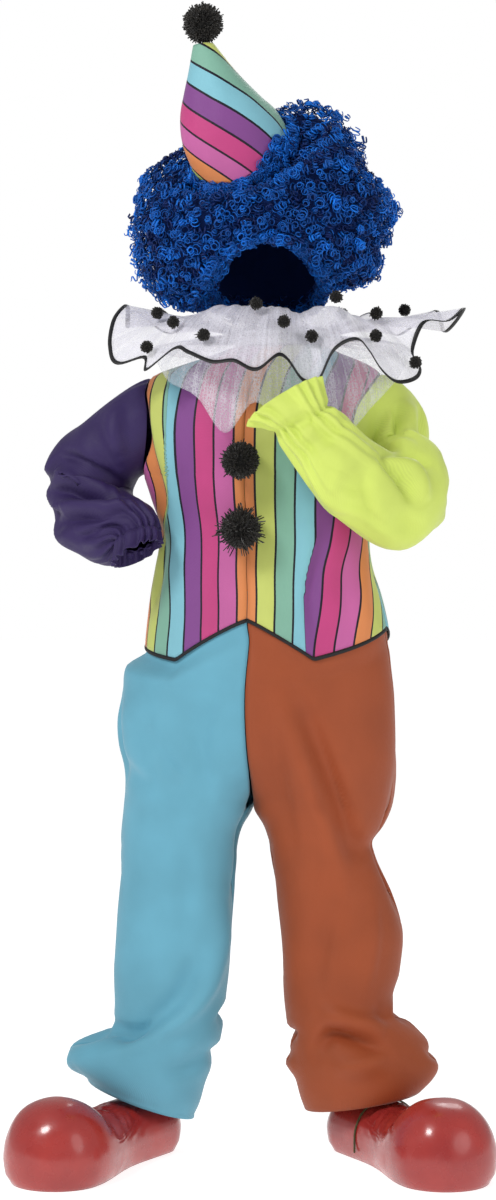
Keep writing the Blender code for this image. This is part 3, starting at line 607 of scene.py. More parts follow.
def sleeve_surface(table, side):
    """Round the sleeve (u, from the outside over its front) and along it (v)."""
    ring_at = curve(table)

    def middle(v):
        outer_x, outer_z, crook_x, crook_z, y, _ = ring_at(v)
        return vector((outer_x + crook_x) / 2, y, (outer_z + crook_z) / 2)

    def surface(u, v):
        outer_x, outer_z, crook_x, crook_z, _, depth = ring_at(v)
        long_axis = vector(outer_x - crook_x, 0.0, outer_z - crook_z) / 2
        along = middle(np.minimum(v + 0.03, 1)) - middle(np.maximum(v - 0.03, 0))
        short_axis = unit(np.cross(along, long_axis)) * depth[..., None]
        short_axis = np.where(short_axis[..., 1:2] > 0, -short_axis, short_axis)
        angle = (2 * math.pi * u)[..., None]
        ring = middle(v) + long_axis * np.cos(angle) + short_axis * np.sin(angle)
        share = ease(v / 0.22)[..., None]
        return armhole_point(side, u, ARMHOLE_TUCK) * (1 - share) + ring * share

    return surface


def ruff_place(angle, out, z):
    bearing = np.radians(angle)
    return vector(RUFF_MIDDLE[0] + out * np.cos(bearing), RUFF_MIDDLE[1] + out * np.sin(bearing), z)


def ruff_surface(u, v):
    """Round the neck (u) and out from the neck band to the edge (v)."""
    angle = 360 * (u % 1.0)
    reach, edge_z, crest = ring_curve(RUFF_UPPER)(angle)
    out = RUFF_SEAM + (reach - RUFF_SEAM) * v
    z = RUFF_UPPER_SEAM + (edge_z - RUFF_UPPER_SEAM) * np.maximum(v, 0.0) ** 1.6
    return ruff_place(angle, out, z + crest * np.sin(math.pi * np.clip(v, 0, 1)))


def falling_surface(u, v):
    """The lower layer, which goes out over the shoulders and then falls."""
    angle = 360 * (u % 1.0)
    reach, edge_z, crest = ring_curve(RUFF_LOWER)(angle)
    quarter = v * math.pi / 2
    out = RUFF_SEAM + (reach - RUFF_SEAM) * np.sin(quarter)
    z = RUFF_LOWER_SEAM + (edge_z - RUFF_LOWER_SEAM) * (1 - np.cos(quarter))
    return ruff_place(angle, out, z + crest * np.sin(math.pi * v) * 0.3)


def hat_surface(u, v):
    """Round the hat (u, from the wearer's right over its front), tip (v 0) to brim (v 1)."""
    right_x, right_z, left_x, left_z, y, depth, dip = hat_ring(v)
    angle = (2 * math.pi * u)[..., None]
    middle = vector((right_x + left_x) / 2, y, (right_z + left_z) / 2)
    across = vector(right_x - left_x, 0.0, right_z - left_z) / 2
    return middle + across * np.cos(angle) + vector(0.0, -depth, -dip) * np.sin(angle)


wig_outline = ring_curve(WIG_OUTLINE)
wig_opening = ring_curve(WIG_OPENING)
wig_axis = unit(WIG_AXIS)
wig_brow = unit(np.array((0.0, 0.0, 1.0)) - wig_axis * wig_axis[2])
wig_side = np.cross(wig_axis, wig_brow)


def wig_reach(ray):
    """How far the curls and the hollow reach along rays from the wig's middle."""
    flat = np.hypot(ray[..., 0], ray[..., 2])
    compass = np.degrees(np.arctan2(ray[..., 2], ray[..., 0])) % 360
    reach = wig_outline(compass)[0]
    far = 1 / np.sqrt((flat / reach) ** 2 + (ray[..., 1] / WIG_DEPTH) ** 2)
    near = 1 / np.sqrt(sum((ray[..., i] / HEAD[i]) ** 2 for i in range(3)))
    level = ray @ BRIM_AXIS
    low, high = BRIM_CLEAR
    share = ease((ray @ HAT_SEAT - low) / (high - low)) * (level >= 0.3)
    pressed = np.minimum(far, BRIM_LEVEL / np.maximum(level, 0.3))
    return np.maximum(far + (pressed - far) * share, near + 14), near


def wig_ray(bearing, share):
    """A ray from the wig's middle: share 0 is the crown and 1 the edge of the opening."""
    edge = 180 - wig_opening(bearing)[0]
    polar = np.radians(edge * share)[..., None]
    turn = np.radians(bearing)[..., None]
    across = wig_brow * np.cos(turn) + wig_side * np.sin(turn)
    return -wig_axis * np.cos(polar) + np.sin(polar) * across


class Overshoe:
    """The shape of one overshoe: a heel and a toe circle in plan, joined by a waist."""

    def __init__(self, heel, toe):
        self.heel, self.toe = heel, toe
        self.length = float(np.linalg.norm(toe - heel))
        self.along = (toe - heel) / self.length
        self.across = np.array((-self.along[1], self.along[0]))
        self.crest = curve(CREST)

    def half_width(self, share):
        grown = HEEL_RADIUS + (TOE_RADIUS - HEEL_RADIUS) * ease(share)
        return grown - WAIST * np.sin(math.pi * np.clip(share, 0.0, 1.0)) ** 2

    def outline(self, turn, inset=0.0):
        """The widest line in plan, at a turn from 0 to 1 from the toe's tip round."""
        side = 1 if turn < 0.5 else -1
        way = turn * 2 if side > 0 else 2 - turn * 2
        if way < 0.4:
            angle = way / 0.4 * math.pi / 2
            middle, reach = self.toe, TOE_RADIUS - inset
        elif way < 0.7:
            share = 1 - (way - 0.4) / 0.3
            width = self.half_width(share) - inset
            return self.heel + self.along * self.length * share + self.across * side * width
        else:
            angle = math.pi / 2 * (1 + (way - 0.7) / 0.3)
            middle, reach = self.heel, HEEL_RADIUS - inset
        return middle + reach * (
            self.along * math.cos(angle) + self.across * side * math.sin(angle))

    def height(self, place, inset):
        """How high the upper stands over places in plan."""
        from_heel = place - self.heel
        share = from_heel @ self.along / self.length
        past = np.linalg.norm(place - self.toe, axis=-1) / (TOE_RADIUS - inset)
        behind = np.linalg.norm(from_heel, axis=-1) / (HEEL_RADIUS - inset)
        beside = np.abs(from_heel @ self.across) / (self.half_width(share) - inset)
        off = np.where(share > 1, past, np.where(share < 0, behind, beside))
        ball = np.where(share < 1, (1 - share) * self.length / TOE_RADIUS, 0.0)
        ball = SIDE_HEIGHT + (TOE_HEIGHT - SIDE_HEIGHT) * np.sqrt(np.maximum(0.0, 1 - ball**2))
        top = np.maximum(self.crest(share)[0], ball) - inset
        over = np.maximum(0.0, 1 - np.minimum(off, 1.0) ** 2.4) ** 0.5
        return SIDE_HEIGHT + (top - SIDE_HEIGHT) * over

    def grid(self, columns, rings):
        """From the sole's middle out to the widest line, and over the upper to the ankle."""
        turns = [c / columns for c in range(columns)]
        sole, low, wide = (
            np.array([self.outline(t, inset) for t in turns])
            for inset in (SOLE_TUCK, SOLE_TUCK * 0.3, 0.0))
        middle = (self.heel + self.toe) / 2
        rows = [vector(*(middle + (sole - middle) * s).T, FLOOR) for s in (0.02, 0.4, 0.8, 0.96, 1)]
        for up in (0.15, 0.4):
            rows.append(vector(*(sole + (low - sole) * up / 0.4).T, FLOOR + SIDE_HEIGHT * up))
        rows.append(vector(*(low + (wide - low) * 0.7).T, FLOOR + SIDE_HEIGHT * 0.7))
        ray = unit(wide - self.heel)
        rim = self.heel + ray * ANKLE_OPENING
        for ring in range(rings + 1):
            inward = 1 - math.cos(ring / rings * math.pi / 2)
            spot = wide + (rim - wide) * inward
            rows.append(vector(*spot.T, FLOOR + self.height(spot, 0.0)))
        return np.array(rows)


# --- Making meshes ------------------------------------------------------------


def across(columns, trim=0.0):
    return np.linspace(trim, 1 - trim, columns)


def round_about(columns):
    return np.arange(columns) / columns


def points_of(surface, u, v):
    """A grid of a surface's points, rows first."""
    wide_u, wide_v = np.meshgrid(u, v)
    return surface(wide_u, wide_v)


def closed(grid):
    """The grid with its first column once more after its last."""
    return np.concatenate([grid, grid[:, :1]], axis=1)


def normals(grid, wraps=False):
    wide = np.concatenate([grid[:, -1:], grid, grid[:, :1]], axis=1) if wraps else grid
    along_u = np.gradient(wide, axis=1)
    along_u = along_u[:, 1:-1] if wraps else along_u
    return unit(np.cross(along_u, np.gradient(grid, axis=0)))


def outward(grid, wraps, middle):
    """The grid's normals, all facing away from the middle."""
    normal = normals(grid, wraps)
    return normal if (normal * (grid - middle)).sum() > 0 else -normal


def mesh_piece(name, points, faces, finish, flat=None):
    """A mesh from points, groups of faces, and the place of each face corner on the cloth."""
    data = bpy.data.meshes.new(name)
    corners = np.concatenate([group.ravel() for group in faces])
    counts = np.concatenate([np.full(len(group), group.shape[1]) for group in faces])
    data.vertices.add(len(points))
    data.vertices.foreach_set("co", (points * MM).astype(np.float32).ravel())
    data.loops.add(len(corners))
    data.loops.foreach_set("vertex_index", corners.astype(np.int32))
    data.polygons.add(len(counts))
    starts = np.concatenate(([0], np.cumsum(counts)[:-1]))
    data.polygons.foreach_set("loop_start", starts.astype(np.int32))
    data.update(calc_edges=True)
    if flat is not None:
        layer = data.uv_layers.new(name="flat")
        layer.data.foreach_set("uv", (flat * MM).astype(np.float32).ravel())
    data.validate()
    data.materials.append(finish)
    data.shade_smooth()
    made = bpy.data.objects.new(name, data)
    bpy.context.scene.collection.objects.link(made)
    return made


def shell(name, grid, wall, finish, flat, wraps=False, middle=None):
    """A closed thin wall of cloth about a grid of points. Flat holds each point's place on
    the flat cloth, with one more column where the grid wraps."""
    rows, columns = grid.shape[:2]
    middle = grid.reshape(-1, 3).mean(axis=0) if middle is None else middle
    normal = normals(grid, wraps)
    if (normal * (grid - middle)).sum() < 0:
        grid, flat = grid[:, ::-1], flat[:, ::-1]
        if wraps:
            grid = np.roll(grid, 1, axis=1)
        normal = normals(grid, wraps)
    points = np.concatenate([
        (grid + normal * wall / 2).reshape(-1, 3), (grid - normal * wall / 2).reshape(-1, 3)])
    back = rows * columns
    row, column = np.meshgrid(
        np.arange(rows - 1), np.arange(columns if wraps else columns - 1), indexing="ij")
    around = np.stack([column, column + 1, column + 1, column], axis=-1).reshape(-1, 4)
    down = np.stack([row, row, row + 1, row + 1], axis=-1).reshape(-1, 4)
    quads = down * columns + around % columns
    places = flat[down, around]
    faces = [quads, quads[:, ::-1] + back]
    flats = [places, places[:, ::-1]]

    def rim(row_a, column_a, row_b, column_b):
        a, b = row_a * columns + column_a % columns, row_b * columns + column_b % columns
        faces.append(np.stack([b, a, a + back, b + back], axis=-1))
        first, second = flat[row_a, column_a], flat[row_b, column_b]
        flats.append(np.stack([second, first, first, second], axis=1))

    ends = np.arange(columns if wraps else columns - 1)
    rim(ends * 0, ends, ends * 0, ends + 1)
    rim(ends * 0 + rows - 1, ends + 1, ends * 0 + rows - 1, ends)
    if not wraps:
        sides = np.arange(rows - 1)
        rim(sides + 1, sides * 0, sides, sides * 0)
        rim(sides, sides * 0 + columns - 1, sides + 1, sides * 0 + columns - 1)
    corners = np.concatenate([part.reshape(-1, 2) for part in flats])
    return mesh_piece(name, points, [np.concatenate(faces)], finish, corners)


def corners_of(rows, columns):
    """The four corners of every face of a grid, as rows and columns."""
    row, column = np.meshgrid(np.arange(rows), np.arange(columns), indexing="ij")
    return (row, column), (row, column + 1), (row + 1, column + 1), (row + 1, column)


def quads_of(corners, rows, columns):
    """The faces' points, on a grid whose last row and column meet the first again."""
    numbers = [row % rows * columns + column % columns for row, column in corners]
    return np.stack(numbers, axis=-1).reshape(-1, 4)


def inside_out(points, quads, middle):
    """Whether quads face the middle, so that their corners have to be reversed."""
    start = points[quads[:, 0]]
    normal = np.cross(points[quads[:, 1]] - start, points[quads[:, 3]] - start)
    return (normal * (start - middle)).sum() < 0


def lengths(grid, axis, wraps=False):
    """Distance along rows (axis 1) or down columns (axis 0), from the first point."""
    steps = np.linalg.norm(np.diff(closed(grid) if wraps else grid, axis=axis), axis=-1)
    start = np.zeros_like(np.take(steps, [0], axis=axis))
    return np.concatenate([start, np.cumsum(steps, axis=axis)], axis=axis)


def flat_places(grid, wraps=False, sign=1.0):
    """Each point's place on the flat cloth: along its row, and down its column."""
    over = lengths(grid, 1, wraps)
    down = lengths(grid, 0)
    return np.stack([sign * over, closed(down) if wraps else down], axis=-1)


def gathered_places(grid):
    """Places on a cloth that is drawn up at its first row: each column keeps its own thread."""
    flat = flat_places(grid, True)
    flat[..., 0] = flat[-1, :, 0]
    return flat


def creased(grid, wraps, table, middle=None):
    """The grid with its cloth pushed in and out along the creases of the table."""
    middle = grid.reshape(-1, 3).mean(axis=0) if middle is None else middle
    normal = outward(grid, wraps, middle)
    moved = np.zeros(grid.shape[:2])
    for view, width, depth, path in table:
        facing, (a, b) = VIEWS[view]
        path = np.array(path, float)
        keys = np.arange(len(path), dtype=float)
        line = curve(np.column_stack([keys, path]))(np.linspace(0, keys[-1], 6 * len(path))).T
        flat = grid[..., [a, b]]
        best = np.full(flat.shape[:2], 1e9)
        offset, place = np.zeros_like(best), np.zeros_like(best)
        for i, (start, end) in enumerate(zip(line, line[1:])):
            run = end - start
            span = run @ run
            t = ((flat - start) @ run) / span
            near = start + np.clip(t, 0, 1)[..., None] * run
            away = np.linalg.norm(flat - near, axis=-1)
            side = np.sign(run[0] * (flat[..., 1] - start[1]) - run[1] * (flat[..., 0] - start[0]))
            closer = away < best
            best = np.where(closer, away, best)
            offset = np.where(closer, away * side, offset)
            place = np.where(closer, (i + np.clip(t, 0, 1)) / (len(line) - 1), place)
        wide = width * np.where(offset > 0, 0.75, 1.35)
        across_it = offset / wide
        profile = (1 - 0.45 * across_it**2) * np.exp(-(across_it**2) / 1.15)
        fade = np.sin(math.pi * np.clip(place, 0.02, 0.98)) ** 0.7
        seen = ease((normal @ np.array(facing, float) - 0.02) / 0.4)
        moved += depth * profile * fade * seen
    return grid + normal * moved[..., None]


def rippled(grid, wraps, amount, size, seed, middle=None):
    """The grid with the slight unevenness that cloth keeps."""
    middle = grid.reshape(-1, 3).mean(axis=0) if middle is None else middle
    draws = np.random.default_rng(seed)
    normal = outward(grid, wraps, middle)
    moved = np.zeros(grid.shape[:2])
    for _ in range(7):
        direction = unit(draws.normal(size=3) * (1, 1, 0.7))
        length = size * draws.uniform(0.6, 1.8)
        moved += np.sin(grid @ direction * 2 * math.pi / length + draws.uniform(0, 6.3))
    return grid + normal * (moved * amount / 2.6)[..., None]


def ride(made, slot, *nodes):
    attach(made, "root")
    if nodes:
        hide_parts(*nodes)
    return made


# --- Finishes -----------------------------------------------------------------


def srgb(code):
    """A colour from sRGB hex to linear values."""
    parts = [int(code[i:i + 2], 16) / 255 for i in (1, 3, 5)]
    return (*(c / 12.92 if c <= 0.04045 else ((c + 0.055) / 1.055) ** 2.4 for c in parts), 1.0)


def shade(code, gain):
    return (*(min(c * gain, 1.0) for c in srgb(code)[:3]), 1.0)


def add(tree, kind, inputs=(), **settings):
    """Adds a node with its settings, and links or sets its inputs."""
    made = tree.nodes.new("ShaderNode" + kind)
    for name, value in settings.items():
        setattr(made, name, value)
    for socket, value in dict(inputs).items():
        if isinstance(value, bpy.types.NodeSocket):
            tree.links.new(value, made.inputs[socket])
        else:
            made.inputs[socket].default_value = value
    return made


def finish(name, **sockets):
    """A new material with its Principled shader's own sockets set."""
    made = bpy.data.materials.new(name)
    made.use_nodes = True
    shader = made.node_tree.nodes["Principled BSDF"]
    for socket, value in sockets.items():
        shader.inputs[socket.replace("_", " ")].default_value = value
    return made, made.node_tree, shader


def ramp(tree, factor, stops, interpolation="LINEAR"):
    """Colours read off a factor."""
    made = add(tree, "ValToRGB", {"Fac": factor})
    band = made.color_ramp
    band.interpolation = interpolation
    for place, colour in stops[2:]:
        band.elements.new(place)
    for i, (place, colour) in enumerate(stops):
        band.elements[i].position = place
        band.elements[i].color = colour
    return made.outputs["Color"]


def gabardine(name, code, printed=False, dips=0.9, sheen=0.2):
    """Polyester gabardine: a close twill, with fine slanting ribs, a soft sheen where it
    turns away, and painted shade that makes the colour a little deeper in the hollows between
    threads."""
    made, tree, shader = finish(
        name, Roughness=0.62, Specular_IOR_Level=0.35, Sheen_Weight=sheen, Sheen_Roughness=0.35)
    flat = add(tree, "UVMap", uv_map="flat").outputs["UV"]
    place = add(tree, "TexCoord").outputs["Object"]
    # A rib each 1.5 mm across the cloth: the real 0.5 mm is too fine to show.
    rib = 2 * math.pi / (10 * 0.0015 * math.sqrt(2))
    twill = add(tree, "TexWave", {
        "Vector": flat, "Scale": rib, "Distortion": 0.6, "Detail": 1.0, "Detail Scale": 0.4},
        wave_type="BANDS", bands_direction="DIAGONAL")
    # Slubs: threads that vary over some 4 mm.
    slub = add(tree, "TexNoise", {"Vector": flat, "Scale": 260.0, "Detail": 3.0})
    # Slow change of shade over some 60 mm.
    tone = add(tree, "TexNoise", {"Vector": place, "Scale": 14.0, "Detail": 2.0})
    if printed:
        colour = stripes(tree, flat, slub.outputs["Fac"])
    else:
        rgb = add(tree, "RGB")
        rgb.outputs[0].default_value = srgb(code)
        colour = rgb.outputs[0]
    grade = ramp(tree, tone.outputs["Fac"], (
        (0.3, (dips, dips, dips, 1)), (0.7, (1.04, 1.04, 1.04, 1))))
    # Painted shade: the colour is darkened where the twill's bump is low, in the hollows between
    # threads.
    threads = ramp(tree, twill.outputs["Fac"], ((0.0, (0.93, 0.93, 0.93, 1)), (1.0, (1, 1, 1, 1))))
    shaded = add(tree, "MixRGB", {"Fac": 1.0, "Color1": colour, "Color2": grade},
                 blend_type="MULTIPLY")
    woven = add(tree, "MixRGB", {"Fac": 1.0, "Color1": shaded.outputs[0], "Color2": threads},
                blend_type="MULTIPLY")
    tree.links.new(woven.outputs[0], shader.inputs["Base Color"])
    rough = add(tree, "MapRange", {"Value": slub.outputs["Fac"], "To Min": 0.54, "To Max": 0.7})
    tree.links.new(rough.outputs[0], shader.inputs["Roughness"])
    coarse = add(tree, "TexNoise", {"Vector": place, "Scale": 70.0, "Detail": 2.0})
    soft = add(tree, "Bump", {"Height": coarse.outputs["Fac"], "Strength": 0.35,
                              "Distance": 0.0012})
    fine = add(tree, "Bump", {"Height": twill.outputs["Fac"], "Strength": 0.35,
                              "Distance": 0.0003, "Normal": soft.outputs["Normal"]})
    tree.links.new(fine.outputs["Normal"], shader.inputs["Normal"])
    return made


STRIPE_COLOURS = ("#d98650", "#c3cc6c", "#7fb09c", "#80bccb", "#80458a", "#c0417e", "#c05f9c")
STRIPE_BLACK = "#0d0c1c"


def stripes(tree, flat, grain):
    """The printed stripes, read off the place along the cloth's width."""
    over = add(tree, "SeparateXYZ", {"Vector": flat}).outputs["X"]
    wander = add(tree, "MapRange", {"Value": grain, "To Min": -0.0002, "To Max": 0.0002})
    over = add(tree, "Math", {0: over, 1: wander.outputs[0]}, operation="ADD").outputs[0]
    count = add(tree, "Math", {0: over, 1: 1 / (STRIPE * MM), 2: 0.5},
                operation="MULTIPLY_ADD").outputs[0]
    seventh = add(tree, "Math", {0: count, 1: 1 / 7}, operation="MULTIPLY").outputs[0]
    turn = add(tree, "Math", {0: seventh}, operation="FRACT").outputs[0]
    stops = [(i / 7, srgb(code)) for i, code in enumerate(STRIPE_COLOURS)]
    bands = ramp(tree, turn, stops, "CONSTANT")
    within = add(tree, "Math", {0: count}, operation="FRACT")
    from_middle = add(tree, "Math", {0: within.outputs[0], 1: 0.5}, operation="SUBTRACT")
    from_middle = add(tree, "Math", {0: from_middle.outputs[0]}, operation="ABSOLUTE")
    line = add(tree, "Math", {0: from_middle.outputs[0], 1: 0.5 - STRIPE_LINE / STRIPE / 2},
               operation="GREATER_THAN")
    return add(tree, "MixRGB", {"Fac": line.outputs[0], "Color1": bands,
                                "Color2": srgb(STRIPE_BLACK)}).outputs[0]


def net(name, code, alpha, weave):
    """Nylon net, sheer and stiff: a pale veil, thicker along its gathers, with a fine mesh of
    threads that catch the light."""
    made, tree, shader = finish(
        name, Roughness=0.5, Specular_IOR_Level=0.3, Sheen_Weight=0.25, Sheen_Roughness=0.4)
    flat = add(tree, "UVMap", uv_map="flat").outputs["UV"]
    # A mesh hole each weave millimetres: the real 1 mm is too fine to show.
    holes = add(tree, "TexVoronoi", {"Vector": flat, "Scale": 1000 / weave, "Randomness": 0.7},
                feature="DISTANCE_TO_EDGE")
    # Gathers: streaks some 10 mm apart that run from the neck to the edge.
    drawn = add(tree, "Mapping", {"Vector": flat, "Scale": (95.0, 5.0, 1.0)})
    streaks = add(tree, "TexNoise", {"Vector": drawn.outputs[0], "Scale": 1.0, "Detail": 3.0,
                                     "Roughness": 0.6, "Distortion": 0.3})
    cloudy = add(tree, "TexNoise", {"Vector": flat, "Scale": 22.0, "Detail": 3.0})
    low, high = alpha
    thread = add(tree, "MapRange", {"Value": holes.outputs["Distance"], "From Min": 0.02,
                                    "From Max": 0.22, "To Min": high, "To Max": low})
    veil = add(tree, "MapRange", {"Value": streaks.outputs["Fac"], "From Min": 0.36,
                                  "From Max": 0.66, "To Min": 0.72, "To Max": 1.35})
    cover = add(tree, "Math", {0: thread.outputs[0], 1: veil.outputs[0]}, operation="MULTIPLY",
                use_clamp=True)
    tree.links.new(cover.outputs[0], shader.inputs["Alpha"])
    tint = ramp(tree, cloudy.outputs["Fac"], ((0.3, shade(code, 0.86)), (0.7, srgb(code))))
    tree.links.new(tint, shader.inputs["Base Color"])
    folds = add(tree, "Bump", {"Height": streaks.outputs["Fac"], "Strength": 0.5,
                               "Distance": 0.002})
    bump = add(tree, "Bump", {"Height": holes.outputs["Distance"], "Strength": 0.3,
                              "Distance": 0.0004, "Normal": folds.outputs["Normal"]})
    tree.links.new(bump.outputs["Normal"], shader.inputs["Normal"])
    return made


def tape(name, code, roughness, sheen):
    """Black bias tape and satin ribbon: woven ribs along the band and a low edge shine."""
    made, tree, shader = finish(
        name, Roughness=roughness, Sheen_Weight=sheen, Sheen_Roughness=0.3,
        Specular_IOR_Level=0.45)
    flat = add(tree, "UVMap", uv_map="flat").outputs["UV"]
    ribs = add(tree, "TexWave", {"Vector": flat, "Scale": 2 * math.pi / (20 * 0.0012),
                                 "Distortion": 0.4}, bands_direction="X")
    worn = add(tree, "TexNoise", {"Vector": flat, "Scale": 90.0, "Detail": 3.0})
    tint = ramp(tree, worn.outputs["Fac"], ((0.35, shade(code, 0.7)), (0.7, shade(code, 1.5))))
    tree.links.new(tint, shader.inputs["Base Color"])
    bump = add(tree, "Bump", {"Height": ribs.outputs["Fac"], "Strength": 0.4,
                              "Distance": 0.0003})
    tree.links.new(bump.outputs["Normal"], shader.inputs["Normal"])
    return made


def fibre(name, dark, light, roughness, sheen, coat=0.0, gloss=0.4):
    """Acrylic yarn or wig fibre, each strand a little lighter or darker than the next, with
    fine hairs along it. The strand's shade lies in the first flat value, 0 to 1 mm: its own tone,
    and on the wig's curls also painted shade towards the clumps' edges."""
    made, tree, shader = finish(
        name, Roughness=roughness, Sheen_Weight=sheen, Sheen_Roughness=0.3,
        Specular_IOR_Level=gloss, Coat_Weight=coat, Coat_Roughness=0.3)
    flat = add(tree, "UVMap", uv_map="flat").outputs["UV"]
    own = add(tree, "SeparateXYZ", {"Vector": flat}).outputs["X"]
    own = add(tree, "Math", {0: own, 1: 1000.0}, operation="MULTIPLY").outputs[0]
    tint = ramp(tree, own, ((0.0, srgb(dark)), (1.0, srgb(light))))
    tree.links.new(tint, shader.inputs["Base Color"])
    place = add(tree, "TexCoord").outputs["Object"]
    hairs = add(tree, "TexNoise", {"Vector": place, "Scale": 900.0, "Detail": 2.0})
    bump = add(tree, "Bump", {"Height": hairs.outputs["Fac"], "Strength": 0.4,
                              "Distance": 0.0004})
    tree.links.new(bump.outputs["Normal"], shader.inputs["Normal"])
    return made


def red_latex():
    """Dipped latex: a thick glossy skin whose red changes slowly from place to place, with dull
    bloom in patches and small moulding flaws."""
    made, tree, shader = finish(
        "red_dipped_latex", Roughness=0.3, Specular_IOR_Level=0.5, Coat_Weight=0.35,
        Coat_Roughness=0.12, Subsurface_Weight=0.04, IOR=1.52)
    place = add(tree, "TexCoord").outputs["Object"]
    tone = add(tree, "TexNoise", {"Vector": place, "Scale": 18.0, "Detail": 4.0})
    tint = ramp(tree, tone.outputs["Fac"], ((0.3, srgb("#9c2927")), (0.7, srgb("#b33832"))))
    tree.links.new(tint, shader.inputs["Base Color"])
    bloom = add(tree, "TexNoise", {"Vector": place, "Scale": 46.0, "Detail": 5.0})
    rough = add(tree, "MapRange", {"Value": bloom.outputs["Fac"], "From Min": 0.35,
                                   "From Max": 0.7, "To Min": 0.2, "To Max": 0.42})
    tree.links.new(rough.outputs[0], shader.inputs["Roughness"])
    skin = add(tree, "TexNoise", {"Vector": place, "Scale": 260.0, "Detail": 3.0})
    bump = add(tree, "Bump", {"Height": skin.outputs["Fac"], "Strength": 0.2,
                              "Distance": 0.0004})
    tree.links.new(bump.outputs["Normal"], shader.inputs["Normal"])
    return made


def sewing_thread(name, code):
    """Polyester thread: a slight shine on a twisted strand."""
    made, tree, shader = finish(name, Roughness=0.45, Sheen_Weight=0.2)
    place = add(tree, "TexCoord").outputs["Object"]
    twist = add(tree, "TexNoise", {"Vector": place, "Scale": 1500.0})
    tint = ramp(tree, twist.outputs["Fac"], ((0.3, shade(code, 0.75)), (0.7, srgb(code))))
    tree.links.new(tint, shader.inputs["Base Color"])
    return made


STRIPED = gabardine("striped_printed_gabardine", "", printed=True, dips=0.94)
PURPLE = gabardine("purple_gabardine", "#302054", sheen=0.06)
LIME = gabardine("lime_gabardine", "#d3e46c")
BLUE = gabardine("light_blue_gabardine", "#68abc2")
ORANGE = gabardine("rust_orange_gabardine", "#9f4b26", sheen=0.12)
BLACK_TAPE = tape("black_bias_tape", "#0e0d11", 0.65, 0.08)
BLACK_RIBBON = tape("black_satin_ribbon", "#0b0b0d", 0.42, 0.1)
ORGANZA = net("white_organza", "#f3f1fb", (0.30, 0.44), 3.4)
TULLE = net("white_soft_tulle", "#f7f8ff", (0.16, 0.3), 3.8)
BLACK_YARN = fibre("black_acrylic_yarn", "#0b0a09", "#2b2723", 0.85, 0.35)
BLUE_FIBRE = fibre("blue_wig_fibre", "#02205c", "#107ae8", 0.45, 0.0, gloss=0.3)
# The wig's base is a real cap, darkened as painted shade for the gaps between the curls.
NAVY_BASE_AND_GAP_SHADE = fibre("navy_wig_base_and_painted_gap_shade", "#051c4c", "#0a2a66", 0.9, 0.0, gloss=0.15)
RED_LATEX = red_latex()
OLIVE_ELASTIC = tape("olive_braided_elastic", "#4a4724", 0.7, 0.2)
PURPLE_THREAD = sewing_thread("purple_thread", "#4a3a72")
LIME_THREAD = sewing_thread("lime_thread", "#dbe98a")
BLUE_THREAD = sewing_thread("light_blue_thread", "#86c3d8")
ORANGE_THREAD = sewing_thread("rust_orange_thread", "#bd6440")
PINK_THREAD = sewing_thread("pink_thread", "#c8659f")


def seam_pull(grid, reach):
    """How much the stitching along both side edges draws the cloth in: 1 at the edges."""
    column = lengths(grid, 1)
    return (np.exp(-((column / reach) ** 2))
            + np.exp(-(((column[:, -1:] - column) / reach) ** 2)))[..., None]


# --- Bodice -------------------------------------------------------------------

BODY_MIDDLE = np.array((10.0, 0.0, -200.0))
# The stripe's place is moved where a fold hides some of the cloth: beyond a line on the
# front, by z, with how much is hidden.
HIDDEN_RIGHT = (
    # z, fold_x, hidden
    (-400, -140, 0),
    (-270, -136, 0),
    (-222, -124, 30),
    (-192, -119, 55),
    (-110, -118, 41),
    (-18, -117, 28),
    (22, -117, 22),
)
HIDDEN_LEFT = (
    # z, fold_x, hidden
    (-400, 64, 20),
    (-330, 58, 20),
    (-290, 60, 15),
    (-230, 78, 5),
    (-190, 96, 0),
    (22, 100, 0),
)
PANELS = (
    # name, centre, side, stripe at the centre, flat width and length
    ("front_right", 0, -90, 0.0, (0.25, 0.42)),
    ("front_left", 0, 90, 0.0, (0.25, 0.42)),
    ("back_right", -180, -90, 2.0, (0.23, 0.42)),
    ("back_left", 180, 90, 2.0, (0.23, 0.42)),
)


def printed_places(grid, side, first):
    """Places on the printed cloth, with the middle of a stripe at the centre seam."""
    flat = flat_places(grid, sign=math.copysign(1.0, side))
    x, z = grid[..., 0], grid[..., 2]
    if first == 0.0:
        fold_x, hidden = curve(HIDDEN_RIGHT if side < 0 else HIDDEN_LEFT)(z)
        beyond = ease((fold_x - x) / 3 + 0.5) if side < 0 else ease((x - fold_x) / 3 + 0.5)
        flat[..., 0] += math.copysign(1.0, side) * beyond * hidden
        sway = ease(np.abs(flat[..., 0]) / 90 - 0.6) * ease((-230 - z) / 60)
        flat[..., 0] += 3.5 * sway * np.sin(z / 21.0 + 1.2)
    flat[..., 0] += first * STRIPE
    return flat


def bodice():
    for name, centre, side, first, cut in PANELS:
        surface = bodice_surface(centre, side)
        smooth = points_of(surface, across(54, trim=SEAM / 2 / 220), across(86))
        grid = creased(smooth, False, BODICE_CREASES, BODY_MIDDLE)
        grid = rippled(grid, False, 0.7, 90, 3, BODY_MIDDLE)
        grid = grid - outward(grid, False, BODY_MIDDLE) * (0.9 * seam_pull(smooth, 3.0))
        made = shell(name + "_cloth", grid, CLOTH, STRIPED,
                     printed_places(smooth, side, first), middle=BODY_MIDDLE)
        ride(made, "striped_cloth", name)
        bound = bind_hem(name, grid)


def bind_hem(name, grid):
    """Bias tape folded over the hem's edge, rounded."""
    edge, above = grid[0], grid[2]
    down = unit(edge - above)
    out = outward(grid, False, BODY_MIDDLE)[0]
    turns = np.linspace(0, 2 * math.pi, 13)[:-1]
    rings = [edge + down * (SEAM + 2.6 - 2.5 * math.cos(t)) + out * 1.25 * math.sin(t)
             for t in turns]
    return tube("hem_binding_" + name + "_tape", np.array(rings).transpose(1, 0, 2), BLACK_TAPE,
                "black_tape", "hem_binding_" + name)


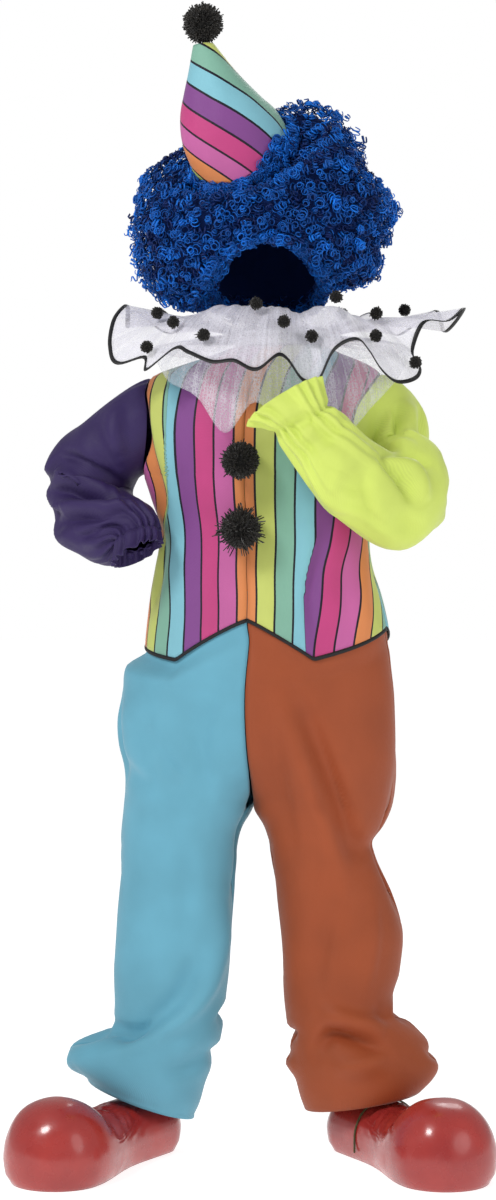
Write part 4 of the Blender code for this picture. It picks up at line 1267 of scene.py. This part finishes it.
def tube(name, rings, material, slot, *nodes, closes=False, girth=None):
    """A tube from rings of points, one ring after another, with flat ends unless it closes.
    Girth holds the places round the tube on its cloth, where they aren't the real distances."""
    count, sides = rings.shape[:2]
    run = np.concatenate([rings, rings[:1]]) if closes else rings
    along = lengths(run[:, :1], 0)[:, 0]
    around = lengths(rings[:1], 1, True)[0] if girth is None else girth
    corners = corners_of(len(run) - 1, sides)
    quads = quads_of(corners, count, sides)
    flat = np.stack([np.stack([along[r], around[c]], axis=-1) for r, c in corners], axis=2)
    caps = np.array([np.arange(sides), (count - 1) * sides + np.arange(sides)[::-1]])
    points = rings.reshape(-1, 3)
    if inside_out(points, quads, rings.mean(axis=1)[quads[:, 0] // sides]):
        quads, flat = quads[:, ::-1], flat[:, :, ::-1]
    else:
        caps = caps[:, ::-1]
    if closes:
        caps = caps[:0]
    corner_places = np.concatenate([flat.reshape(-1, 2), np.zeros((caps.size, 2))])
    made = mesh_piece(name, points, [quads, caps], material, corner_places)
    return ride(made, slot, *nodes)


# --- Trousers -----------------------------------------------------------------


def trousers():
    panels = (
        ("trouser_right_front", RIGHT_LEG, 0, -90, BLUE, "blue_cloth", BLUE_THREAD),
        ("trouser_right_back", RIGHT_LEG, -180, -90, BLUE, "blue_cloth", BLUE_THREAD),
        ("trouser_left_front", LEFT_LEG, 0, 90, ORANGE, "orange_cloth", ORANGE_THREAD),
        ("trouser_left_back", LEFT_LEG, 180, 90, ORANGE, "orange_cloth", ORANGE_THREAD),
    )
    for name, table, centre, side, material, slot, thread in panels:
        surface = trouser_panel(table, centre, side)
        down = np.linspace(TROUSER_TOP, TROUSER_END, 128)
        smooth = points_of(surface, across(46, trim=0.0014), down)
        leg = np.array((side, 0.0, -700.0))
        waist = ease((hem_height(centre * 1.0) - 14 - smooth[..., 2]) / 40)[..., None]
        grid = creased(smooth, False, TROUSER_CREASES, leg)
        grid = rippled(grid, False, 0.7, 150, 11, leg)
        grid = smooth + (grid - smooth) * waist
        grid = grid - outward(grid, False, leg) * seam_pull(smooth, 3.5) * waist
        made = shell(name + "_cloth", grid, CLOTH, material, flat_places(smooth), middle=leg)
        ride(made, slot, name)
        out = outward(grid, False, leg)
        row = int(np.abs(down - TROUSER_END - HEM_DEPTH).argmin())
        stitches(name + "_stitches", slot, thread, [(grid[row], out[row])])


# --- Sleeves ------------------------------------------------------------------

GATHER = 0.905  # where the elastic lies, along the sleeve


def sleeve_gathers(u, rows):
    """How far the gathers at the cuff and the shoulder lift a sleeve's cloth."""
    wide_u, wide_v = np.meshgrid(u, rows)
    turn = 2 * math.pi * wide_u
    # Pleats of uneven width that are deepest beside the elastic.
    pleats = 15 * turn + 1.6 * np.sin(2 * turn + 0.7) + 1.1 * np.sin(5 * turn + 2.0)
    above = np.maximum(GATHER - wide_v, 0.0)
    below = np.maximum(wide_v - GATHER, 0.0)
    fade = (0.55 + 0.45 * np.sin(3 * turn + 1.0)) * 0.12 + 0.05
    deep = np.exp(-((above / fade) ** 1.3)) * (below == 0) * 3.0
    frill = (1.2 + 26 * below) * (below > 0)
    ripple = deep * np.sin(pleats) + frill * np.sin(pleats + 4 * below)
    ripple += 0.6 * np.sin(2.3 * pleats) * np.exp(-(above / 0.03) ** 2) * (below == 0)
    nip = -5.0 * np.exp(-((wide_v - GATHER) / 0.012) ** 2)
    shoulder = 1.5 * np.sin(11 * turn + np.sin(3 * turn))
    shoulder *= np.exp(-((wide_v - 0.05) / 0.05) ** 2)
    shoulder *= np.maximum(np.cos(turn), 0.0) ** 0.5 * ease(wide_v / 0.04)
    # A stitched hem stands a little proud of the frill.
    hem = 0.5 * ease((wide_v - 0.982) / 0.004)
    return ripple + nip + shoulder + hem


def sleeves():
    for name, table, side, material, creases, slot, thread in (
        ("sleeve_right", RIGHT_SLEEVE, -90, PURPLE, RIGHT_SLEEVE_CREASES, "purple_cloth",
         PURPLE_THREAD),
        ("sleeve_left", LEFT_SLEEVE, 90, LIME, LEFT_SLEEVE_CREASES, "lime_cloth", LIME_THREAD),
    ):
        columns = 154
        rows = np.concatenate([np.linspace(0, 0.8, 62)[:-1], np.linspace(0.8, 1, 36)])
        u = round_about(columns)
        smooth = points_of(sleeve_surface(table, side), u, rows)
        middle = smooth.mean(axis=1, keepdims=True)
        grid = creased(smooth, True, creases, middle)
        grid = rippled(grid, True, 0.6, 80, 23, middle)
        keep = ease((rows - 0.03) / 0.08)[:, None, None]
        grid = smooth + (grid - smooth) * keep
        grid = grid + outward(grid, True, middle) * sleeve_gathers(u, rows)[..., None]
        made = shell(name + "_cloth", grid, CLOTH, material, flat_places(smooth, True),
                     wraps=True, middle=middle_of(grid, columns))
        ride(made, slot, name)
        rows_sewn = [int(np.abs(rows - at).argmin()) for at in (GATHER - 0.012, 0.978)]
        stitches(name + "_stitches", slot, thread, [
            closed_line(grid[row], outward(grid, True, middle)[row]) for row in rows_sewn])


def middle_of(grid, columns):
    """Each ring's own middle, turned with the grid if it has to be reversed."""
    return np.repeat(grid.mean(axis=1, keepdims=True), columns, axis=1)


# --- Ruff ---------------------------------------------------------------------

BELOW_NECK = np.array((33.0, 0.0, -4000.0))


def ruff_gathers(grid, v, count, deep, reach, seed):
    """Fine pleats that start at the neck band and open towards the edge."""
    draws = np.random.default_rng(seed)
    columns = grid.shape[1]
    turn = 2 * math.pi * round_about(columns)
    phase = count * turn + 1.4 * np.sin(3 * turn) + 0.9 * np.sin(8 * turn + 1.0)
    uneven = 0.65 + 0.35 * np.sin(5 * turn + 2 * np.sin(2 * turn) + draws.uniform(0, 6))
    near = np.exp(-((v / reach) ** 1.2)) * ease(v / 0.05)
    wave = near[:, None] * (deep * uneven * np.sin(phase))[None]
    # Some pleats go on outwards, at half the count, as soft creases.
    far = ease((v - 0.12) / 0.3) * (1 - 0.35 * ease((v - 0.7) / 0.3))
    wave += far[:, None] * (0.32 * deep * uneven * np.sin(phase / 2 + 0.6))[None]
    return grid + outward(grid, True, BELOW_NECK) * wave[..., None]


def ruff():
    rows = across(29)
    upper = points_of(ruff_surface, round_about(380), rows)
    pleated = ruff_gathers(upper, rows, 58, 3.4, 0.32, 5)
    flat = gathered_places(upper)
    top = shell("ruff_upper_organza", pleated, NET, ORGANZA, flat, True, BELOW_NECK)
    ride(top, "white_organza", "ruff_upper")
    ribbon = ruff_ribbon(pleated)
    rows = across(23)
    lower = points_of(falling_surface, round_about(300), rows)
    fallen = ruff_gathers(lower, rows, 47, 3.6, 0.4, 8)
    under = shell("ruff_lower_tulle", fallen, NET, TULLE, gathered_places(lower), True,
                  BELOW_NECK)
    ride(under, "white_tulle", "ruff_lower")
    low, high, radius = BAND
    u, v = np.meshgrid(round_about(120), across(10))
    belly = 1.2 * np.sin(math.pi * v) + 0.25 * np.sin(60 * 2 * math.pi * u) * (v < 0.9)
    band = ruff_place(360 * u, radius + belly, low + (high - low) * v)
    made = shell("neck_band_satin", band, 1.4, BAND_SATIN, flat_places(band, True), True,
                 np.array((*RUFF_MIDDLE, 34.0)))
    ride(made, "white_organza", "neck_band")


def ruff_ribbon(grid):
    """The satin ribbon folded over the upper layer's edge."""
    edge = grid[-1]
    out = unit(edge - grid[-3])
    up = outward(grid, True, BELOW_NECK)[-1]
    turns = np.linspace(0, 2 * math.pi, 11)[:-1]
    rings = np.array([edge + out * (0.8 - 3.0 * math.cos(t) + 2.4) + up * 0.85 * math.sin(t)
                      for t in turns])
    return tube("ruff_ribbon_satin", rings.transpose(1, 0, 2), BLACK_RIBBON, "black_ribbon",
                "ruff_ribbon", closes=True, girth=1.2 * np.arange(len(turns) + 1))


BAND_SATIN = net("white_satin_band", "#e9eaf0", (1.0, 1.0), 1.6)


# --- Yarn and curls -----------------------------------------------------------


def strands(paths, widths, shades):
    """Three-sided strands along many paths of the same number of points. The widths are the
    half size across and the half size along the strand's flat side, for each point."""
    count, steps = paths.shape[:2]
    ahead = unit(np.gradient(paths, axis=1))
    turn = np.gradient(ahead, axis=1)
    side = turn - (turn * ahead).sum(axis=-1, keepdims=True) * ahead
    fallback = np.cross(ahead, np.array((0.31, 0.87, 0.38)))
    short = np.linalg.norm(side, axis=-1, keepdims=True) < 1e-4
    side = unit(np.where(short, fallback, side))
    flat_side = np.cross(ahead, side)
    corners = []
    for turn in (0, 2 * math.pi / 3, 4 * math.pi / 3):
        corners.append(paths + side * (math.cos(turn) * widths[..., 0:1])
                       + flat_side * (math.sin(turn) * widths[..., 1:2]))
    points = np.stack(corners, axis=2).reshape(-1, 3)
    base = (np.arange(count) * steps * 3)[:, None, None]
    step = (np.arange(steps - 1) * 3)[None, :, None]
    corner = np.arange(3)[None, None, :]
    a = base + step + corner
    b = base + step + (corner + 1) % 3
    quads = np.stack([a, b, b + 3, a + 3], axis=-1).reshape(-1, 4)
    first = (np.arange(count) * steps * 3)[:, None]
    last = first + (steps - 1) * 3
    caps = np.concatenate([first + np.array((2, 1, 0)), last + np.array((0, 1, 2))])
    shade_of = np.repeat(shades, (steps - 1) * 3 * 4)
    cap_shade = np.concatenate([np.repeat(shades, 3), np.repeat(shades, 3)])
    u = np.concatenate([shade_of, cap_shade])
    v = np.zeros_like(u)
    return points, quads, caps, np.stack([u, v], axis=-1)


def merged(name, parts, material):
    """One mesh from strands and closed cores."""
    points, quads, triangles, quad_flat, triangle_flat = [], [], [], [], []
    start = 0
    for part_points, part_quads, part_triangles, flat in parts:
        points.append(part_points)
        quads.append(part_quads + start)
        triangles.append(part_triangles + start)
        split = part_quads.size
        quad_flat.append(flat[:split])
        triangle_flat.append(flat[split:])
        start += len(part_points)
    flat = np.concatenate(quad_flat + triangle_flat)
    return mesh_piece(name, np.concatenate(points),
                      [np.concatenate(quads), np.concatenate(triangles)], material, flat)


def globe(count):
    """Directions spread evenly over a sphere."""
    i = np.arange(count) + 0.5
    up = 1 - 2 * i / count
    turn = math.pi * (1 + 5**0.5) * i
    flat = np.sqrt(1 - up * up)
    return vector(flat * np.cos(turn), flat * np.sin(turn), up)


def core(middle, radius, rows=9, columns=14):
    """A closed ball under the strands."""
    polar = np.linspace(0, math.pi, rows + 1)[1:-1]
    turn = 2 * math.pi * round_about(columns)
    wide_turn, wide_polar = np.meshgrid(turn, polar)
    ring = vector(np.sin(wide_polar) * np.cos(wide_turn), np.sin(wide_polar) * np.sin(wide_turn),
                  np.cos(wide_polar))
    points = np.concatenate([ring.reshape(-1, 3), ((0, 0, 1.0), (0, 0, -1.0))]) * radius + middle
    quads = quads_of(corners_of(rows - 2, columns), rows, columns)[:, (0, 3, 2, 1)]
    c = np.arange(columns)
    top, bottom, last = (rows - 1) * columns, (rows - 1) * columns + 1, (rows - 2) * columns
    triangles = np.concatenate([
        np.stack([np.full(columns, top), c, (c + 1) % columns], axis=-1),
        np.stack([np.full(columns, bottom), last + (c + 1) % columns, last + c], axis=-1)])
    return points, quads, triangles, np.zeros((quads.size + triangles.size, 2))


def pompom(node, count, thick, seed, loose=0.0, shrink=1.0):
    """A ball of cut yarn: many ends that stand out from a tied middle."""
    low, high = (np.array(corner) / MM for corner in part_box(node))
    middle, radius = (low + high) / 2, float((high - low).min()) / 2 * shrink
    draws = np.random.default_rng(seed)
    rays = unit(globe(count) + draws.normal(size=(count, 3)) * 0.07)
    reach = radius * (0.97 + 0.05 * draws.normal(size=count))
    wild = draws.random(count) < loose
    reach = np.where(wild, radius * draws.uniform(1.02, 1.3, count), reach)
    bend = draws.normal(size=(count, 3)) * np.where(wild, 0.34, 0.10)[:, None]
    shares = np.array((0.5, 0.78, 1.0))
    paths = (rays[:, None] * shares[None, :, None]
             + bend[:, None] * ((shares - 0.5) ** 1.5)[None, :, None])
    paths = middle + paths * reach[:, None, None]
    wide = thick * np.array((0.9, 1.0, 0.85))[None, :, None]
    wide = wide * draws.uniform(0.8, 1.2, (count, 1, 1))
    widths = np.broadcast_to(wide, (count, 3, 2))
    parts = [strands(paths, widths, draws.random(count)), core(middle, radius * 0.8)]
    ride(merged(node + "_yarn", parts, BLACK_YARN), "black_yarn", node)


def pompoms():
    pompom("hat_pompom", 1250, 1.0, 41)
    pompom("pompom_upper", 1250, 0.95, 42, loose=0.01)
    pompom("pompom_lower", 1200, 0.9, 43, loose=0.22, shrink=0.94)
    for number in range(1, 17):
        pompom(f"ruff_pompom_{number:02d}", 150, 0.9, 60 + number, loose=0.02)


def wig():
    """A knitted base, dark navy as painted shade in the gaps between curls, and on it ringlets that
    grow in rounded clumps.
    """
    bearing, share = np.meshgrid(360 * round_about(90), across(40))
    rays = wig_ray(bearing, np.maximum(share, 0.004))
    far, near = wig_reach(rays)
    base = WIG_MIDDLE + rays * (near + (far - near) * 0.8 - 2)[..., None]
    ride(cap(base, WIG_MIDDLE + rays * near[..., None]), "blue_fibre", "wig")
    draws = np.random.default_rng(7)
    curls = [clumped_curls(draws), fringe_curls(draws), lapping_curls(draws)]
    ringlets(*(np.concatenate(part) for part in zip(*curls)), draws)


def clumped_curls(draws):
    """Where curls start all over the wig, which way they point and how light they are, with painted
    shade darkening the curls towards each clump's edge.
    """
    rays = globe(RINGLETS)
    rays = unit(rays + draws.normal(size=rays.shape) * 0.012)
    turn = np.degrees(np.arctan2(rays @ wig_side, rays @ wig_brow)) % 360
    polar = np.degrees(np.arccos(np.clip(-(rays @ wig_axis), -1, 1)))
    rays = rays[(polar < 181 - wig_opening(turn)[0]) & (rays @ HAT_SEAT < UNDER_HAT)]
    clumps = unit(globe(CLUMPS) + draws.normal(size=(CLUMPS, 3)) * 0.05)
    rise = draws.uniform(-4, 4, CLUMPS)
    tone = draws.normal(0, 0.1, CLUMPS)
    clump = (rays @ clumps.T).argmax(axis=1)
    lean = rays - clumps[clump]
    apart = np.clip(np.linalg.norm(lean, axis=-1) / 0.085, 0, 1)
    free = 1 - ease((rays @ HAT_SEAT - BRIM_CLEAR[0] + 0.1) / 0.14)
    far = wig_reach(rays)[0] - 3.0 + rise[clump] * free - (3 + 6 * free) * apart**2
    stray = draws.random(len(rays)) < 0.045
    far += np.where(stray, draws.uniform(5, 12, len(rays)), 0) * free
    # Painted shade: curls towards a clump's edge, which sit lower, are darker, as the shade in the
    # gaps between clumps.
    shades = 0.66 - 0.55 * apart**2 + tone[clump]
    return WIG_MIDDLE + rays * far[:, None], unit(rays + 5 * lean), shades


def fringe_curls(draws):
    """Curls over the cut edge of the base, from the lining out to the tips."""
    turn = 360 * draws.random(FRINGE)
    edge = wig_ray(turn, np.full(FRINGE, 1.0))
    far, near = wig_reach(edge)
    depth = near + (far - near) * draws.uniform(0.03, 0.97, FRINGE)
    hang = draws.uniform(-1, 8, (FRINGE, 1))
    start = WIG_MIDDLE + edge * depth[:, None] + wig_axis * hang
    return start, unit(0.5 * edge + wig_axis), draws.uniform(0.2, 0.75, FRINGE)


def lapping_curls(draws):
    """Curls that lap over the hat's brim."""
    count = len(OVER_BRIM) * LAPPING
    place, height = np.repeat(np.array(OVER_BRIM, float), LAPPING, axis=0).T
    place = place + draws.normal(size=count) * 0.016
    ring = hat_surface(place, np.ones(count))
    above = hat_surface(place, np.full(count, 0.8))
    middle = hat_surface(round_about(40), np.ones(40)).mean(axis=0)
    out, up = unit(ring - middle), unit(above - ring)
    climb = height * draws.random(count) ** 1.3 - 5
    start = ring + up * climb[:, None] + out * draws.uniform(3, 8, (count, 1))
    return start, unit(out + 0.4 * up), draws.uniform(0.25, 0.8, count)


def cap(outer, inner):
    """The wig's base, closed between its two skins, with its crown on a point."""
    rows, columns = outer.shape[:2]
    points = np.concatenate([outer.reshape(-1, 3), inner.reshape(-1, 3)])
    back = rows * columns
    quads = quads_of(corners_of(rows - 1, columns), rows, columns)
    c = np.arange(columns)
    last = (rows - 1) * columns
    rim = np.stack([last + c, last + (c + 1) % columns, back + last + (c + 1) % columns,
                    back + last + c], axis=-1)
    faces = np.concatenate([quads, quads[:, ::-1] + back, rim])
    crowns = np.stack([np.arange(columns), back + np.arange(columns)[::-1]])
    if inside_out(points, quads, WIG_MIDDLE):
        faces = faces[:, ::-1]
    else:
        crowns = crowns[:, ::-1]
    # All-zero flat values give the finish's darkest colour: painted shade for the gaps between
    # curls.
    flat = np.zeros((faces.size + crowns.size, 2))
    return mesh_piece("wig_base", points, [faces, crowns], NAVY_BASE_AND_GAP_SHADE, flat)


def ringlets(start, spread, shades, draws):
    """Coiled locks that wind outwards, sorted into pieces by where they grow."""
    count = len(start)
    wander = draws.normal(size=spread.shape)
    wander -= (wander * spread).sum(axis=1, keepdims=True) * spread
    axis = unit(spread + unit(wander) * np.tan(np.radians(draws.uniform(5, 62, (count, 1)))))
    t = np.linspace(0, 1, RINGLET_STEPS)[None, :, None]
    length = draws.uniform(6, 13, (count, 1, 1))
    radius = draws.uniform(3.6, 7.4, (count, 1, 1))
    turns = draws.uniform(1.6, 2.4, (count, 1, 1))
    one = unit(np.cross(axis, draws.normal(size=axis.shape)))[:, None]
    two = np.cross(axis, one[:, 0])[:, None]
    angle = 2 * math.pi * turns * t + draws.uniform(0, 6.3, (count, 1, 1))
    hand = np.where(draws.random((count, 1, 1)) < 0.5, -1.0, 1.0)
    wind = radius * (1 - 0.5 * t**1.5)
    paths = (start[:, None] + axis[:, None] * (t - 0.35) * length
             + (one * np.cos(angle) + two * np.sin(angle) * hand) * wind)
    paths[..., 2] -= 0.12 * t[..., 0] * length[..., 0]
    thin = np.sin(math.pi * (0.12 + 0.82 * t)) ** 0.5
    thin = thin * draws.uniform(0.75, 1.2, (count, 1, 1)) + 0 * paths[..., :1]
    widths = np.concatenate([0.8 * thin, 1.5 * thin], axis=-1)
    shades = np.clip(shades + draws.normal(0, 0.2, count), 0, 1)
    ray = unit(start - WIG_MIDDLE)
    zone = np.where(ray[:, 2] > 0.62, 0, np.where(ray[:, 1] > 0.35, 3, np.where(
        ray[:, 0] < -0.35, 1, np.where(ray[:, 0] > 0.35, 2, 4))))
    for number, place in enumerate(("crown", "right", "left", "back", "brow")):
        chosen = zone == number
        parts = [strands(paths[chosen], widths[chosen], shades[chosen])]
        ride(merged("wig_ringlets_" + place, parts, BLUE_FIBRE), "blue_fibre")


# --- Hat ----------------------------------------------------------------------

HAT_TOP = 31.0  # from the cone's true apex to the hat's tip, along its side
HAT_FAN = 86.0  # degrees that the stripes turn by in one turn round the hat
HAT_LEAN = 36.0  # degrees that they lean by at the wearer's right
HAT_PRINT = 1.3  # how many times finer the hat's stripes are than the bodice's
HAT_OFFSET = -24.0  # millimetres that they are moved by across their own width


def hat():
    columns = 96
    rows = across(48)
    u = round_about(columns)
    smooth = points_of(hat_surface, u, rows)
    middle = smooth.mean(axis=1, keepdims=True)
    grid = creased(smooth, True, HAT_CREASES, middle)
    grid = rippled(grid, True, 0.5, 60, 31, middle)
    wide_u = np.concatenate([u, [1.0]])
    turn = np.where(wide_u > 0.75, wide_u - 1.0, wide_u)
    down = closed(lengths(smooth, 0))
    lean = np.cos(np.radians(HAT_FAN * turn + HAT_LEAN))
    over = HAT_OFFSET + HAT_PRINT * (down + HAT_TOP) * lean
    flat = np.stack([over + 1.5 * STRIPE, down], axis=-1)
    made = shell("hat_cone_cloth", grid, CLOTH, STRIPED, flat, True, middle_of(grid, columns))
    ride(made, "striped_cloth", "hat_cone")
    out = outward(grid, True, middle_of(grid, columns))
    stitches("hat_brim_stitches", "striped_cloth", PINK_THREAD, [closed_line(grid[-4], out[-4])])


# --- Overshoes ----------------------------------------------------------------

SHOE_WRINKLES = (
    # distance from the toe's middle, depth, width, lean to one side in degrees
    (60, -1.9, 2.6, -14),
    (67, -1.4, 2.2, 6),
    (75, -2.4, 3.0, -6),
    (86, -1.6, 2.6, 12),
    (98, -2.4, 3.4, -10),
    (113, -1.5, 3.0, 8),
    (128, -1.8, 3.4, -4),
)


def overshoes():
    for name, heel_x, heel_y, toe_x, toe_y in SHOES:
        shoe = Overshoe(np.array((heel_x, heel_y), float), np.array((toe_x, toe_y), float))
        grid = shoe.grid(120, 48)
        middle = np.array((*(shoe.heel + shoe.toe) / 2, FLOOR + 34))
        normal = outward(grid, True, middle)
        plan = grid[..., :2] - shoe.toe
        back = -(plan @ shoe.along)
        beside = plan @ shoe.across
        bearing = np.degrees(np.arctan2(beside, np.maximum(back, 1e-3)))
        away = np.linalg.norm(plan, axis=-1)
        high = ease((grid[..., 2] - FLOOR - 26) / 20) * (back > 0)
        moved = np.zeros(grid.shape[:2])
        for i, (distance, deep, wide, lean) in enumerate(SHOE_WRINKLES):
            line = away - distance - 4 * np.sin(np.radians(bearing * 3.0 + lean * 5 + 40 * i))
            fade = np.exp(-(((bearing - lean) / 46) ** 2)) * high
            moved += deep * np.exp(-((line / wide) ** 2)) * fade
            moved += 0.5 * -deep * np.exp(-(((line - 1.9 * wide) / wide) ** 2)) * fade
        # The line left by the mould, just above the sole.
        level = grid[..., 2] - FLOOR
        moved += 0.7 * np.exp(-(((level - 13) / 1.2) ** 2))
        for wave in range(5):
            direction = np.array((math.cos(wave * 2.1), math.sin(wave * 1.3), 0.5))
            moved += 0.28 * np.sin(grid @ direction / (9 + 4 * wave) + wave)
        moved *= ease((level - 2) / 8)
        grid = grid + normal * moved[..., None]
        made = shell("overshoe_" + name + "_latex", grid, 1.8, RED_LATEX,
                     flat_places(grid, True), True, middle)
        ride(made, "red_latex", "overshoe_" + name)
    elastic_tie(shoe)


def elastic_tie(shoe):
    """The round elastic over the left overshoe's waist."""
    lift = TIE_RADIUS + SEAM + 0.8
    width = shoe.half_width(TIE_PLACE)
    seat = shoe.heel + shoe.along * shoe.length * TIE_PLACE
    turn = np.linspace(0, math.pi, 41)
    side = np.cos(turn)[:, None]
    place = seat + shoe.across * (width + lift) * side
    under = seat + shoe.across * width * side
    top = FLOOR + shoe.height(under, 0.0) + lift * np.sin(turn)
    over = np.column_stack([place, top])
    drop = np.linspace(0.6 * SIDE_HEIGHT, 0, 7)[:-1]
    first = over[0] - drop[:, None] * (0, 0, 1)
    last = over[-1] - drop[::-1, None] * (0, 0, 1)
    path = np.concatenate([first, over, last])
    ahead = unit(np.gradient(path, axis=0))
    beside = np.array((*shoe.along, 0.0))
    out = np.cross(ahead, beside)
    around = np.linspace(0, 2 * math.pi, 11)[:-1]
    reach = TIE_RADIUS * (1 + 0.06 * np.sin(np.arange(len(path)) * 2.4))[:, None, None]
    rings = path[:, None] + reach * (np.cos(around)[None, :, None] * beside
                                     + np.sin(around)[None, :, None] * out[:, None])
    tube("overshoe_tie_elastic", rings, OLIVE_ELASTIC, "olive_elastic", "overshoe_tie")


def closed_line(points, out):
    """A ring of points and normals, brought back to its start."""
    return np.concatenate([points, points[:1]]), np.concatenate([out, out[:1]])


def stitches(name, slot, material, lines, long=2.3, gap=1.5, thick=0.32):
    """Rows of stitches as small raised dashes. A line is its points and its normals."""
    parts = []
    for points, out in lines:
        run = np.concatenate([[0], np.cumsum(np.linalg.norm(np.diff(points, axis=0), axis=-1))])
        count = int(run[-1] / (long + gap))
        begin = (np.arange(count) + 0.2) * (long + gap)
        at = begin[:, None] + np.array((0, 0.5, 1.0)) * long
        path = np.stack([np.interp(at, run, points[:, i]) for i in range(3)], axis=-1)
        lift = np.stack([np.interp(at, run, out[:, i]) for i in range(3)], axis=-1)
        path = path + unit(lift) * (thick * np.array((0.1, 0.9, 0.1)))[None, :, None]
        parts.append(strands(path, np.full((count, 3, 2), thick), np.full(count, 0.5)))
    return ride(merged(name, parts, material), slot)


# --- Studio -------------------------------------------------------------------

LAMPS = (
    # name, place, what it points at, size, power
    ("key", (-1.7, -2.0, 1.6), (0, 0, -0.3), 0.9, 46.0),
    ("fill", (2.0, -2.0, 0.2), (0, 0, -0.4), 1.6, 13.0),
    ("back", (0.9, 2.4, 1.6), (0, 0, -0.2), 1.4, 20.0),
)
FLOOR_REACH = 40000.0
CAMERA_AWAY = 3.2
CAMERA_SIDE = -0.0133
CAMERA_UP = -0.3125
HALF_SEEN = 0.798  # half the height that the camera takes in where the costume stands
SENSOR = 36.0
WHITE = (1.0, 1.0, 1.0, 1.0)


def studio():
    """A pale floor, a white surround and soft lights."""
    scene = bpy.context.scene
    world = bpy.data.worlds.new("white_studio")
    scene.world = world
    world.use_nodes = True
    tree = world.node_tree
    surround = tree.nodes["Background"]
    surround.inputs["Color"].default_value = WHITE
    surround.inputs["Strength"].default_value = 0.42
    backdrop = add(tree, "Background", {"Color": WHITE, "Strength": 1.0})
    seen = add(tree, "LightPath").outputs["Is Camera Ray"]
    either = add(tree, "MixShader", {"Fac": seen, 1: surround.outputs[0],
                                     2: backdrop.outputs[0]})
    tree.links.new(either.outputs[0], tree.nodes["World Output"].inputs["Surface"])
    pale, _, shader = finish(
        "pale_floor", Roughness=0.9, Specular_IOR_Level=0.0, Emission_Strength=0.84)
    shader.inputs["Base Color"].default_value = srgb("#b4b4b4")
    shader.inputs["Emission Color"].default_value = WHITE
    points = np.array([(x * FLOOR_REACH, y * FLOOR_REACH, FLOOR - 0.3)
                       for x, y in ((-1, -1), (1, -1), (1, 1), (-1, 1))])
    floor = mesh_piece("studio_floor", points, [np.array([[0, 1, 2, 3]])], pale)
    lamps(scene)
    camera(scene)


def lamps(scene):
    for name, place, aim, size, power in LAMPS:
        data = bpy.data.lights.new(name, "AREA")
        data.energy, data.size, data.shape = power, size, "DISK"
        light = bpy.data.objects.new(name, data)
        light.location = place
        toward = np.array(aim) - np.array(place)
        light.rotation_mode = "QUATERNION"
        light.rotation_quaternion = Vector(toward).to_track_quat("-Z", "Y")
        scene.collection.objects.link(light)


def camera(scene):
    data = bpy.data.cameras.new("camera")
    data.sensor_width = SENSOR
    data.lens = SENSOR / 2 / (HALF_SEEN / CAMERA_AWAY)
    made = bpy.data.objects.new("camera", data)
    made.location = (CAMERA_SIDE, -CAMERA_AWAY, CAMERA_UP)
    made.rotation_euler = (math.pi / 2, 0.0, 0.0)
    scene.collection.objects.link(made)
    scene.camera = made
    scene.view_settings.view_transform = "Standard"


studio()
bodice()
trousers()
sleeves()
ruff()
pompoms()
wig()
hat()
overshoes()
